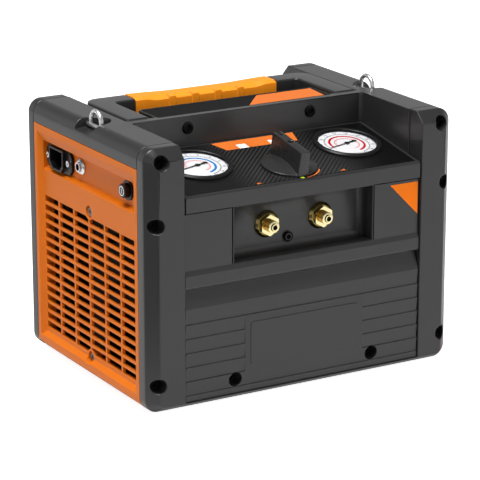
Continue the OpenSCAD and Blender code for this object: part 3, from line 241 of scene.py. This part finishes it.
overlayPrint = {"barPitch": 3.36, "turn": 45, "dark": "#060606", "light": "#303030",
                "fadeFrom": 36, "fadeTo": 66}
charcoalAbs = mouldedAbs("charcoal_moulded_abs", "#282828", "#2C2C2C")
knobAbs = mouldedAbs("knob_moulded_abs", "#262626", "#2A2A2A", grain=0.8, roughness=0.26)
bezelAbs = mouldedAbs("bezel_moulded_abs", "#141414", "#181818", grain=0.8, roughness=0.34, ior=1.4)
orangeAbs = mouldedAbs("orange_moulded_abs", "#E27513", "#DC700F", grain=1.0, roughness=0.4, ior=1.28)
orangeTpe = gripRubber("orange_overmoulded_tpe", "#F99214", "#F28C10")
footRubber = gripRubber("black_foot_rubber", "#1C1C1C", "#242424")
brass = metalFinish("turned_brass", "#F3E6B0", 0.1, "Y", 0.7, 0.006)
# Darker copy of the brass for the threads: painted shade of the thread's grooves
threadBrassWithPaintedShade = metalFinish("thread_brass_with_painted_shade", "#B08A44", 0.2, "Y", 0.7, 0.006)
# Darker copy of the brass for the fitting collars: a painted dark reflection of the pocket around them
brassWithPaintedDarkReflection = metalFinish("brass_with_painted_dark_reflection", "#8C7C4C", 0.12, "Y", 0.7, 0.006)
nickel = metalFinish("nickel_plated_steel", "#D4D6D8", 0.14, "Y", 1.4, 0.01)
satinNickel = metalFinish("satin_nickel_wire", "#EDEDEC", 0.34, "Y", 1.4, 0.01)
dullZinc = metalFinish("dull_zinc_plate", "#7E7A74", 0.42, "Z", 1.4, 0.01)
zincSheet = metalFinish("zinc_plated_sheet", "#B8BBBE", 0.38, "X", 2.0, 0.02)
castAluminium = metalFinish("cast_aluminium", "#A9ACAF", 0.5, "Z", 3.0, 0.05)
drawnCopper = metalFinish("drawn_copper", "#C27A4A", 0.3, "X", 1.5, 0.02)
blackOxide = glossNylon("black_oxide_steel", "#0A0A0B", 0.35)
# Black enamel on the motor case and condenser, kept this dark also as painted shade inside the grille
blackEnamelAndPaintedShade = glossNylon("black_enamel_and_painted_shade", "#0A0A0A", 0.6)
blackNylon = glossNylon("black_connector_nylon", "#0D0D0E", 0.36, 1.4)
overlayFilm = barredOverlay("polycarbonate_overlay", overlayPrint)
dialCard = printInk("white_dial_print", "#DFDFE1", 0.5)
inkBlack = printInk("black_ink", "#111111")
inkOrange = printInk("orange_ink", "#F47A1C", 0.5, 1.15)
overlayOrange = printInk("orange_overlay_ink", "#D26E2C", 0.5, 1.15)
inkRed = printInk("red_ink", "#B8141C", 0.5, 1.15)
inkPink = printInk("pink_ink", "#D27B7E", 0.5, 1.15)
inkBlue = printInk("blue_ink", "#0C74BC", 0.5, 1.15)
inkGrey = printInk("grey_ink", "#5A5E66", 0.5, 1.15)
inkWhite = printInk("white_ink", "#F2F2F2")
inkLime = printInk("lime_ink", "#C4D42A")
labelFilm = printInk("black_label_film", "#101010", 0.5, 1.1)
# Matt black: the valve cores and the knob's plug are black, while on the base plate and the front and handle
# screws it is painted shade, so that the grille slots and the screw holes read dark
mattBlackAndPaintedShade = printInk("matt_black_and_painted_shade", "#050505", 0.8, 1.25)
lensAcrylic = clearLens("clear_acrylic")
# The control board is drawn black as painted shade, so that it reads dark through the grille slots
boardPaintedShade = printInk("board_black_as_painted_shade", "#0A0D0B", 0.7, 1.3)

# Below, the base plate, the front and handle screws, the motor case, the condenser and the control board are
# black partly as painted shade, so that the grille slots and the screw holes read dark
finishOf = {
    "front_frame": charcoalAbs, "rear_frame": charcoalAbs, "front_panel": charcoalAbs,
    "rear_panel": charcoalAbs, "console": charcoalAbs, "top_cover": charcoalAbs, "handle_frame": charcoalAbs,
    "left_side_panel": orangeAbs, "right_side_panel": orangeAbs, "handle_grip": orangeTpe,
    "base_plate": mattBlackAndPaintedShade, "feet": footRubber, "rubber_mounts": footRubber,
    "left_strap_ring": satinNickel, "right_strap_ring": satinNickel, "control_overlay": overlayFilm,
    "low_gauge_case": blackNylon, "high_gauge_case": blackNylon,
    "low_gauge_bezel": bezelAbs, "high_gauge_bezel": bezelAbs,
    "low_gauge_dial": dialCard, "high_gauge_dial": dialCard,
    "low_gauge_pointer": inkBlack, "high_gauge_pointer": inkBlack,
    "low_gauge_lens": lensAcrylic, "high_gauge_lens": lensAcrylic,
    "selector_knob": knobAbs, "selector_stem": nickel, "selector_valve": brass,
    "manifold_block": castAluminium,
    "inlet_fitting": brass, "outlet_fitting": brass, "fitting_washers": brassWithPaintedDarkReflection,
    "power_inlet": blackNylon, "power_inlet_pins": nickel, "power_inlet_screws": nickel,
    "sensor_jack": nickel, "sensor_jack_nut": nickel,
    "power_button": blackNylon, "power_button_housing": blackNylon,
    "front_screws": mattBlackAndPaintedShade, "rear_screws": blackOxide, "side_screws": dullZinc, "handle_screws": mattBlackAndPaintedShade,
    "crankcase": castAluminium, "front_cylinder_head": castAluminium, "rear_cylinder_head": castAluminium,
    "motor_case": blackEnamelAndPaintedShade, "motor_stator": zincSheet, "motor_rotor": zincSheet, "motor_shaft": nickel,
    "shaft_bearings": nickel, "fan": blackNylon, "fan_shroud": blackNylon, "condenser": blackEnamelAndPaintedShade,
    "control_board": boardPaintedShade, "suction_pipe": drawnCopper, "discharge_pipe": drawnCopper,
}
for name, finish in finishOf.items():
    nodes[name].data.materials.clear()
    nodes[name].data.materials.append(finish)
print("materials ready:", len(bpy.data.materials))


# Pieces: each is drawn in mm on the face that carries it, then settled there
carriers = {"trayFrontY": -120, "trayFrontZ": 194.7, "traySlope": 10, "shelfZ": 238.4, "plateY": -116.5}
inMm = Matrix.Scale(mm, 4)
upright = Matrix.Rotation(math.radians(90), 4, "X")  # a flat drawing turned to face the front
leftward = Matrix(((0, 0, -1, 0), (-1, 0, 0, 0), (0, 1, 0, 0), (0, 0, 0, 1)))  # and one to face the left
trayTilt = Matrix.Rotation(math.radians(carriers["traySlope"]), 4, "X")
trayFront = Matrix.Translation((0, carriers["trayFrontY"] * mm, carriers["trayFrontZ"] * mm))
onTray = trayFront @ trayTilt @ inMm
onShelf = Matrix.Translation((0, 0, carriers["shelfZ"] * mm)) @ inMm
onPlate = Matrix.Translation((0, carriers["plateY"] * mm, 0)) @ upright @ inMm
record = frame["record"]
bodyOf = {node: body for body, members in record["behaviour"]["bodies"].items() for node in members}


def middle(node):
    low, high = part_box(node)
    return (Vector(low) + Vector(high)) / 2


def addPiece(name, bm, finish, body="case", place=None, smoothAngle=35):
    if place:
        bmesh.ops.transform(bm, matrix=place, verts=bm.verts)
    bmesh.ops.recalc_face_normals(bm, faces=bm.faces)
    mesh = bpy.data.meshes.new(name)
    bm.to_mesh(mesh)
    bm.free()
    mesh.materials.append(finish)
    mesh.shade_smooth()
    mesh.set_sharp_from_angle(angle=math.radians(smoothAngle))
    piece = bpy.data.objects.new(name, mesh)
    bpy.context.scene.collection.objects.link(piece)
    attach(piece, body)
    return piece


# Moulded edges are never knife-sharp: each part gets a copy with its edges rounded by so many mm,
# apart from the edges inside the boxes that are left alone
edgeRounding = {
    "front_frame": (0.9, []),
    "rear_frame": (0.9, []),
    "console": (0.5, []),
    "top_cover": (0.7, [((-126, -25, 208), (-117, -18, 214)), ((117, -25, 208), (126, -18, 214)),
                        ((-125, -28, 236), (-113, -18, 240)), ((113, -28, 236), (125, -18, 240))]),
    "front_panel": (0.3, [((-130, -100, 0), (130, -92, 200))]),
    "rear_panel": (0.3, []),
    "left_side_panel": (0.25, []),
    "right_side_panel": (0.25, []),
    "handle_frame": (1.4, []),
    "handle_grip": (0.4, []),
    "selector_knob": (0.5, []),
    "power_inlet": (0.4, []),
    "power_button": (0.3, []),
    "power_button_housing": (0.3, []),
    "fitting_washers": (0.3, []),
    "sensor_jack_nut": (0.3, []),
    "low_gauge_bezel": (0.25, []),
    "high_gauge_bezel": (0.25, []),
    "front_screws": (0.35, []),
    "rear_screws": (0.35, []),
    "side_screws": (0.3, []),
    "handle_screws": (0.35, []),
}
# weld in mm, the rest in degrees: flatter edges are dissolved, sharper ones rounded or kept crisp
edgeSettings = {"weld": 0.002, "flatBelow": 0.8, "roundFrom": 17, "crispFrom": 50, "segments": 2}


def inBox(point, low, high):
    return all(a * mm <= p <= b * mm for a, p, b in zip(low, point, high))


def roundEdges(name, width, leaveAlone, s):
    bm = bmesh.new()
    bm.from_mesh(nodes[name].data)
    bmesh.ops.remove_doubles(bm, verts=bm.verts, dist=s["weld"] * mm)
    bmesh.ops.dissolve_limit(bm, angle_limit=math.radians(s["flatBelow"]), verts=bm.verts, edges=bm.edges)
    bmesh.ops.triangulate(bm, faces=bm.faces)
    sharp = [e for e in bm.edges if e.calc_face_angle(0) > math.radians(s["roundFrom"])
             and not any(inBox((e.verts[0].co + e.verts[1].co) / 2, *box) for box in leaveAlone)]
    bmesh.ops.bevel(bm, geom=sharp, offset=width * mm, offset_type="OFFSET", segments=s["segments"],
                    profile=0.5, affect="EDGES", clamp_overlap=False, material=-1)
    mesh = bpy.data.meshes.new("moulded_" + name)
    bm.to_mesh(mesh)
    bm.free()
    mesh.materials.append(finishOf[name])
    mesh.shade_smooth()
    mesh.set_sharp_from_angle(angle=math.radians(s["crispFrom"]))
    piece = bpy.data.objects.new("moulded_" + name, mesh)
    bpy.context.scene.collection.objects.link(piece)
    piece.modifiers.new("even shading", "WEIGHTED_NORMAL").keep_sharp = True
    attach(piece, bodyOf[name])
    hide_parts(name)


for name, (width, leaveAlone) in edgeRounding.items():
    roundEdges(name, width, leaveAlone, edgeSettings)
print("edges rounded:", len(edgeRounding))


# Prints: thin closed patches, so that they keep a body from every side
arcStep = 5  # degrees between the points along an arc


def raiseFaces(bm, faces, lift):
    grown = bmesh.ops.extrude_face_region(bm, geom=faces)["geom"]
    raised = [g for g in grown if isinstance(g, bmesh.types.BMVert)]
    bmesh.ops.translate(bm, vec=lift, verts=raised)
    return raised


def patch(bm, outline, low, high):
    corners = [bm.verts.new((x, y, low)) for x, y in outline]
    raiseFaces(bm, bmesh.ops.contextual_create(bm, geom=corners)["faces"], (0, 0, high - low))


def rectangle(bm, sides, low, high):
    left, bottom, right, top = sides
    patch(bm, [(left, bottom), (right, bottom), (right, top), (left, top)], low, high)


def disc(bm, centre, radius, corners, low, high):
    spot = Matrix.Translation((*centre, low))
    bmesh.ops.create_circle(bm, cap_ends=True, segments=corners, radius=radius, matrix=spot)
    raiseFaces(bm, bm.faces[:], (0, 0, high - low))


def arcBand(bm, centre, inner, outer, start, sweep, low, high):
    turn = math.radians(start)
    ends = [bm.verts.new((centre[0] + r * math.cos(turn), centre[1] + r * math.sin(turn), low))
            for r in (inner, outer)]
    kept = set(bm.faces)
    bmesh.ops.spin(bm, geom=[*ends, bm.edges.new(ends)], cent=(*centre, low), axis=(0, 0, 1), dvec=(0, 0, 0),
                   angle=math.radians(sweep), steps=round(abs(sweep) / arcStep), use_merge=abs(sweep) >= 360)
    raiseFaces(bm, [f for f in bm.faces if f not in kept], (0, 0, high - low))


def tick(bm, centre, radius, length, width, angle, low, high):
    spot = (Matrix.Translation((*centre, (low + high) / 2)) @ Matrix.Rotation(math.radians(angle), 4, "Z")
            @ Matrix.Translation((radius, 0, 0)) @ Matrix.Diagonal((length, width, high - low, 1)))
    bmesh.ops.create_cube(bm, size=1, matrix=spot)


def plainNumber(bm, text, height, x, y, low, high):
    curve = bpy.data.curves.new("number", "FONT")
    curve.body = text
    curve.size = height
    curve.extrude = (high - low) / 2
    curve.resolution_u = 2
    curve.align_x = "CENTER"
    curve.align_y = "CENTER"
    holder = bpy.data.objects.new("number", curve)
    mesh = bpy.data.meshes.new_from_object(holder)
    mesh.transform(Matrix.Translation((x, y, (low + high) / 2)))
    bm.from_mesh(mesh)
    bpy.data.objects.remove(holder)
    bpy.data.curves.remove(curve)
    bpy.data.meshes.remove(mesh)


# Gauge faces: a coloured band, a thin inner scale, a grey outer scale with plain numbers, and a grey
# ring along the dial's edge that is painted shade of the lens rim
gaugeFace = {
    "low": 0.2, "high": 0.27, "start": 195, "sweep": -270,
    "band": (15.0, 17.2), "inner": (11.1, 11.9), "outer": (20.2, 20.7), "edge": (26.4, 27.3),
    "ticks": 50, "majorEvery": 5, "tickRadius": 21.4, "tickLength": 1.6, "tickWidth": 0.45, "minorShare": 0.55,
    "innerEvery": 2, "innerTickRadius": 10.3, "innerTickLength": 1.6, "innerTickWidth": 0.5,
    "numberRadius": 23.9, "numberHeight": 4.0,
    "gauges": {
        "low": {"ink": inkBlue, "numbers": [str(i) for i in range(11)]},
        "high": {"ink": inkRed, "numbers": [str(5 * i) for i in range(11)]},
    },
}


def printGauge(name, s, g):
    centre = (onTray.inverted() @ middle(name + "_gauge_dial")).xy
    levels = (s["low"], s["high"])
    turns = [s["start"] + s["sweep"] * i / s["ticks"] for i in range(s["ticks"] + 1)]
    band = bmesh.new()
    arcBand(band, centre, *s["band"], s["start"], s["sweep"], *levels)
    addPiece(name + "_dial_band", band, g["ink"], place=onTray)
    inner = bmesh.new()
    arcBand(inner, centre, *s["inner"], s["start"], s["sweep"], *levels)
    for turn in turns[::s["innerEvery"]]:
        tick(inner, centre, s["innerTickRadius"], s["innerTickLength"], s["innerTickWidth"], turn, *levels)
    addPiece(name + "_dial_inner_scale", inner, inkPink, place=onTray)
    outer = bmesh.new()
    arcBand(outer, centre, *s["outer"], s["start"], s["sweep"], *levels)
    # grey ring along the dial's edge: painted shade of the lens rim
    arcBand(outer, centre, *s["edge"], 0, 360, *levels)
    for i, turn in enumerate(turns):
        length = s["tickLength"] * (s["minorShare"] if i % s["majorEvery"] else 1)
        radius = s["tickRadius"] - (s["tickLength"] - length) / 2
        tick(outer, centre, radius, length, s["tickWidth"], turn, *levels)
    for text, turn in zip(g["numbers"], turns[::s["majorEvery"]]):
        x = centre[0] + s["numberRadius"] * math.cos(math.radians(turn))
        y = centre[1] + s["numberRadius"] * math.sin(math.radians(turn))
        plainNumber(outer, text, s["numberHeight"], x, y, *levels)
    addPiece(name + "_dial_outer_scale", outer, inkGrey, place=onTray)


for name, gauge in gaugeFace["gauges"].items():
    printGauge(name, gaugeFace, gauge)
print("gauge faces printed")

# Prints on the control overlay, in mm across and up the slope
trayPrint = {
    "low": 0.4, "high": 0.46, "windowHigh": 0.5,
    "block": [(-42.6, 95), (-35.8, 77.5), (37.6, 77.5), (42.2, 95)],
    "windows": [(-22.4, 77.6, -12.8, 86), (10.4, 77.6, 19.8, 86)],
    "knob": (0, 30.5), "arc": (26.3, 27.6, -84, 50),
    "arrows": [[(-46.4, 4.4), (-41.6, 5.8), (-46.4, 7.2)], [(43.6, 5.4), (38, 6.8), (43.6, 8.2)]],
    "dot": (-1.7, 4.3), "dotRadius": 1.9, "dotCorners": 24,
}


def printTray(s):
    levels = (s["low"], s["high"])
    orange = bmesh.new()
    patch(orange, s["block"], *levels)
    arcBand(orange, s["knob"], *s["arc"], *levels)
    for arrow in s["arrows"]:
        patch(orange, arrow, *levels)
    addPiece("overlay_orange_print", orange, overlayOrange, place=onTray)
    white = bmesh.new()
    for window in s["windows"]:
        rectangle(white, window, s["high"], s["windowHigh"])
    addPiece("overlay_white_windows", white, inkWhite, place=onTray)
    lime = bmesh.new()
    disc(lime, s["dot"], s["dotRadius"], s["dotCorners"], *levels)
    addPiece("overlay_lime_dot", lime, inkLime, place=onTray)


printTray(trayPrint)

# Plain labels: black film with an orange block on the shelf, an orange corner sticker beside the pocket
shelfLabel = {"sides": (-88.6, -15.0, 88.6, 17.8), "corner": 2.2, "cornerSteps": 5, "film": 0.3, "ink": 0.36,
              "block": [(5, -13.6), (84.6, -13.6), (87.6, 16.4), (30, 16.4)]}
cornerSticker = {"outline": [(89.6, 176.2), (119.2, 146.2), (119.2, 176.2)], "film": 0.15}


def stickLabels(s, c):
    film = bmesh.new()
    rectangle(film, s["sides"], 0, s["film"])
    rear = [e for e in film.edges if e.verts[0].co.z != e.verts[1].co.z and e.verts[0].co.y > 0]
    bmesh.ops.bevel(film, geom=rear, offset=s["corner"], segments=s["cornerSteps"], profile=0.5, affect="EDGES",
                    material=-1)
    addPiece("shelf_label_film", film, labelFilm, place=onShelf)
    block = bmesh.new()
    patch(block, s["block"], s["film"], s["ink"])
    addPiece("shelf_label_block", block, overlayOrange, place=onShelf)
    sticker = bmesh.new()
    patch(sticker, c["outline"], 0, c["film"])
    addPiece("corner_sticker", sticker, inkOrange, place=onPlate)


stickLabels(shelfLabel, cornerSticker)

# On and off mark on the button's end, and the dark plug in the knob's ridge
buttonMark = {"ring": (3.5, 4.4, 0, 360), "bar": (-0.45, -2.2, 0.45, 2.2), "thick": 0.08}
knobPlug = {"centre": (0, 32.0), "radius": 2.6, "corners": 32, "low": 22.0, "high": 22.45}


def markControls(s, k):
    mark = bmesh.new()
    arcBand(mark, (0, 0), *s["ring"], 0, s["thick"])
    rectangle(mark, s["bar"], 0, s["thick"])
    end = middle("power_button")
    end.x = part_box("power_button")[0][0]
    addPiece("button_mark", mark, inkWhite, "button", Matrix.Translation(end) @ leftward @ inMm)
    plug = bmesh.new()
    disc(plug, k["centre"], k["radius"], k["corners"], k["low"], k["high"])
    addPiece("knob_plug", plug, mattBlackAndPaintedShade, "knob", onTray)


markControls(buttonMark, knobPlug)

# Black washer under the screw in the pocket, and the polished face of its head
pocketScrew = {"centre": (-6, 139), "wall": -98, "washer": (4.4, 5.6, 0, 360), "thick": 0.5,
               "face": (2.3, 3.3, 0, 360), "faceLow": 2.38, "faceHigh": 2.46}


def dressPocketScrew(s):
    wall = Matrix.Translation((0, s["wall"] * mm, 0)) @ upright @ inMm
    washer = bmesh.new()
    arcBand(washer, s["centre"], *s["washer"], 0, s["thick"])
    addPiece("pocket_screw_washer", washer, blackOxide, place=wall)
    face = bmesh.new()
    arcBand(face, s["centre"], *s["face"], s["faceLow"], s["faceHigh"])
    addPiece("pocket_screw_face", face, blackOxide, place=wall)


dressPocketScrew(pocketScrew)
print("prints and marks placed")

# Flare unions: turned body with a rolled thread, a chamfered hexagon and a dark valve core in the bore,
# in radii and lengths back from the tip
flareUnion = {
    "bore": 2.3, "shank": 5.25, "steps": 40, "smoothAngle": 30,
    "nose": [(3.2, 0), (3.75, 1.5), (4.9, 1.6), (5.5, 2.0), (5.5, 2.6), (4.3, 2.9), (4.3, 3.7)],
    "thread": (3.7, 8.1), "major": 5.55, "minor": 4.7, "turns": 4, "crest": (0.4, 0.6),
    "hexagon": (8.1, 12.1), "acrossFlats": 17.0, "corner": 0.7,
    "coreRadius": 2.26, "core": (1.5, 7.1), "coreCorners": 24,
}


def turnProfile(bm, profile, steps):
    ring = [bm.verts.new((r, y, 0)) for r, y in profile]
    edges = [bm.edges.new((a, b)) for a, b in zip(ring, ring[1:] + ring[:1])]
    bmesh.ops.spin(bm, geom=ring + edges, cent=(0, 0, 0), axis=(0, 1, 0), dvec=(0, 0, 0),
                   angle=math.tau, steps=steps, use_merge=True)


def turnUnion(node, s):
    low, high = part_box(node)
    tip = middle(node)
    tip.y = low[1]
    rear = (high[1] - low[1]) / mm
    place = Matrix.Translation(tip) @ inMm
    neck = s["nose"][-1][0]
    hexFront, hexRear = s["hexagon"]
    union = bmesh.new()
    turnProfile(union, [(s["bore"], 0), *s["nose"], (neck, hexRear), (s["shank"], hexRear),
                        (s["shank"], rear), (s["bore"], rear)], s["steps"])
    kept = set(union.verts)
    bmesh.ops.create_circle(union, cap_ends=True, segments=6, radius=s["acrossFlats"] / math.sqrt(3),
                            matrix=Matrix.Translation((0, hexRear, 0)) @ upright)
    flats = [f for f in union.faces if all(v not in kept for v in f.verts)]
    front = raiseFaces(union, flats, (0, hexFront - hexRear, 0))
    bmesh.ops.bevel(union, geom=front, offset=s["corner"], segments=1, profile=0.5, affect="VERTICES",
                    material=-1)
    turned = addPiece("turned_" + node, union, brass, place=place, smoothAngle=s["smoothAngle"])
    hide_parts(node)
    thread = bmesh.new()
    start, end = s["thread"]
    pitch = (end - start) / s["turns"]
    profile = [(neck, end), (neck, start)]
    for i in range(s["turns"]):
        crest = [(s["major"], start + (i + share) * pitch) for share in s["crest"]]
        profile += [(s["minor"], start + i * pitch), *crest]
    turnProfile(thread, profile + [(s["minor"], end)], s["steps"])
    # the thread's darker brass is painted shade of its grooves
    addPiece(node + "_thread", thread, threadBrassWithPaintedShade, place=place, smoothAngle=s["smoothAngle"])
    near, far = s["core"]
    core = bmesh.new()
    bmesh.ops.create_cone(core, cap_ends=True, segments=s["coreCorners"], radius1=s["coreRadius"],
                          radius2=s["coreRadius"], depth=far - near,
                          matrix=Matrix.Translation((0, (near + far) / 2, 0)) @ upright)
    addPiece(node + "_valve_core", core, mattBlackAndPaintedShade, place=place)


for node in ("inlet_fitting", "outlet_fitting"):
    turnUnion(node, flareUnion)
print("flare unions turned")

# Studio, in metres: white floor and horizon, dark ceiling, a soft key from the upper left,
# and two weaker lamps that light without showing up as reflections
studio = {
    "lamps": {
        "key": {"place": (-0.6, -0.2, 2.4), "size": 1.0, "power": 74.0, "mirrored": True},
        "fill": {"place": (0.9, -2.6, 1.0), "size": 1.2, "power": 34.0, "mirrored": False},
        "side": {"place": (2.3, 1.2, 0.4), "size": 1.2, "power": 32.0, "mirrored": False},
    },
    "aim": (0, 0, 0.12),
    "floorSize": 6.0, "paper": "#D2D2D2", "paperRoughness": 0.8, "floorSeen": 0.92, "floorMirrored": 0.24,
    # painted dark reflection: where the paper turns black, for reflection rays only
    "darkReflectionX": (-0.15, -0.35), "darkReflectionY": (-0.05, -0.25), "darkReflectionDepth": 0.85,
    "horizon": 0.66, "ceiling": 0.12, "fadeFrom": 0.27, "fadeTo": 0.5, "ambient": 0.7,
}


# White paper that glows for the camera and a little in reflections; at the front left it turns black
# for reflection rays only, a painted dark reflection on the object's left faces
def layFloor(s):
    bm = bmesh.new()
    bmesh.ops.create_grid(bm, x_segments=1, y_segments=1, size=s["floorSize"])
    mesh = bpy.data.meshes.new("floor")
    bm.to_mesh(mesh)
    bm.free()
    floor = bpy.data.objects.new("floor", mesh)
    bpy.context.scene.collection.objects.link(floor)
    paper, tree, shader, place = startMaterial("white_studio_paper")
    shader.inputs["Roughness"].default_value = s["paperRoughness"]
    rays = addNode(tree, "ShaderNodeLightPath")
    parts = addNode(tree, "ShaderNodeSeparateXYZ", {}, {0: place})
    # Painted dark reflection: the front left of the paper goes black for reflection rays only
    toLeft = addNode(tree, "ShaderNodeMapRange", {1: s["darkReflectionX"][0], 2: s["darkReflectionX"][1], 4: s["darkReflectionDepth"]},
                     {0: parts.outputs["X"]})
    toFront = addNode(tree, "ShaderNodeMapRange", {1: s["darkReflectionY"][0], 2: s["darkReflectionY"][1]},
                      {0: parts.outputs["Y"]})
    darkReflectionPatch = addNode(tree, "ShaderNodeMath", {"operation": "MULTIPLY"},
                   {0: toLeft.outputs[0], 1: toFront.outputs[0]})
    inMirror = addNode(tree, "ShaderNodeMath", {"operation": "MULTIPLY"},
                       {0: darkReflectionPatch.outputs[0], 1: rays.outputs["Is Glossy Ray"]})
    tint = addNode(tree, "ShaderNodeMix", {"data_type": "RGBA", 6: hexColour(s["paper"]), 7: (0, 0, 0, 1)},
                   {0: inMirror.outputs[0]})
    tree.links.new(tint.outputs[2], shader.inputs["Base Color"])
    bare = addNode(tree, "ShaderNodeMath", {"operation": "SUBTRACT"},
                   {0: rays.outputs["Is Glossy Ray"], 1: inMirror.outputs[0]})
    mirrored = addNode(tree, "ShaderNodeMath", {"operation": "MULTIPLY", 1: s["floorMirrored"]},
                       {0: bare.outputs[0]})
    shader.inputs["Emission Color"].default_value = (1, 1, 1, 1)
    glow = addNode(tree, "ShaderNodeMath", {"operation": "MULTIPLY_ADD", 1: s["floorSeen"]},
                   {0: rays.outputs["Is Camera Ray"], 2: mirrored.outputs[0]})
    tree.links.new(glow.outputs[0], shader.inputs["Emission Strength"])
    mesh.materials.append(paper)


def hangLamp(name, s, aim):
    data = bpy.data.lights.new(name, "AREA")
    data.size = s["size"]
    data.energy = s["power"]
    lamp = bpy.data.objects.new(name, data)
    toward = (Vector(aim) - Vector(s["place"])).normalized()
    lamp.matrix_world = Matrix.Translation(s["place"]) @ toward.to_track_quat("-Z", "Y").to_matrix().to_4x4()
    lamp.visible_glossy = s["mirrored"]
    bpy.context.scene.collection.objects.link(lamp)


# Sky: white behind the object, and for the light a pale horizon that fades up into a dark ceiling
def paintSky(s):
    world = bpy.data.worlds.new("studio")
    world.use_nodes = True
    bpy.context.scene.world = world
    tree = world.node_tree
    towards = addNode(tree, "ShaderNodeTexCoord").outputs["Generated"]
    height = addNode(tree, "ShaderNodeSeparateXYZ", {}, {0: towards})
    sky = addNode(tree, "ShaderNodeMapRange",
                  {1: s["fadeFrom"], 2: s["fadeTo"], 3: s["horizon"], 4: s["ceiling"]},
                  {0: height.outputs["Z"]})
    rays = addNode(tree, "ShaderNodeLightPath")
    seen = addNode(tree, "ShaderNodeMath", {"operation": "MAXIMUM"},
                   {0: rays.outputs["Is Camera Ray"], 1: rays.outputs["Is Transmission Ray"]})
    share = addNode(tree, "ShaderNodeMapRange", {3: s["ambient"], 4: 1.0}, {0: rays.outputs["Is Glossy Ray"]})
    dome = addNode(tree, "ShaderNodeMath", {"operation": "MULTIPLY"},
                   {0: sky.outputs[0], 1: share.outputs[0]})
    level = addNode(tree, "ShaderNodeMix", {"data_type": "FLOAT", 3: 1.0},
                    {0: seen.outputs[0], 2: dome.outputs[0]})
    tree.nodes["Background"].inputs["Color"].default_value = (1, 1, 1, 1)
    tree.links.new(level.outputs[0], tree.nodes["Background"].inputs["Strength"])


layFloor(studio)
for name, lamp in studio["lamps"].items():
    hangLamp(name, lamp, studio["aim"])
paintSky(studio)
bpy.context.scene.view_settings.view_transform = "Standard"
print("studio lit")
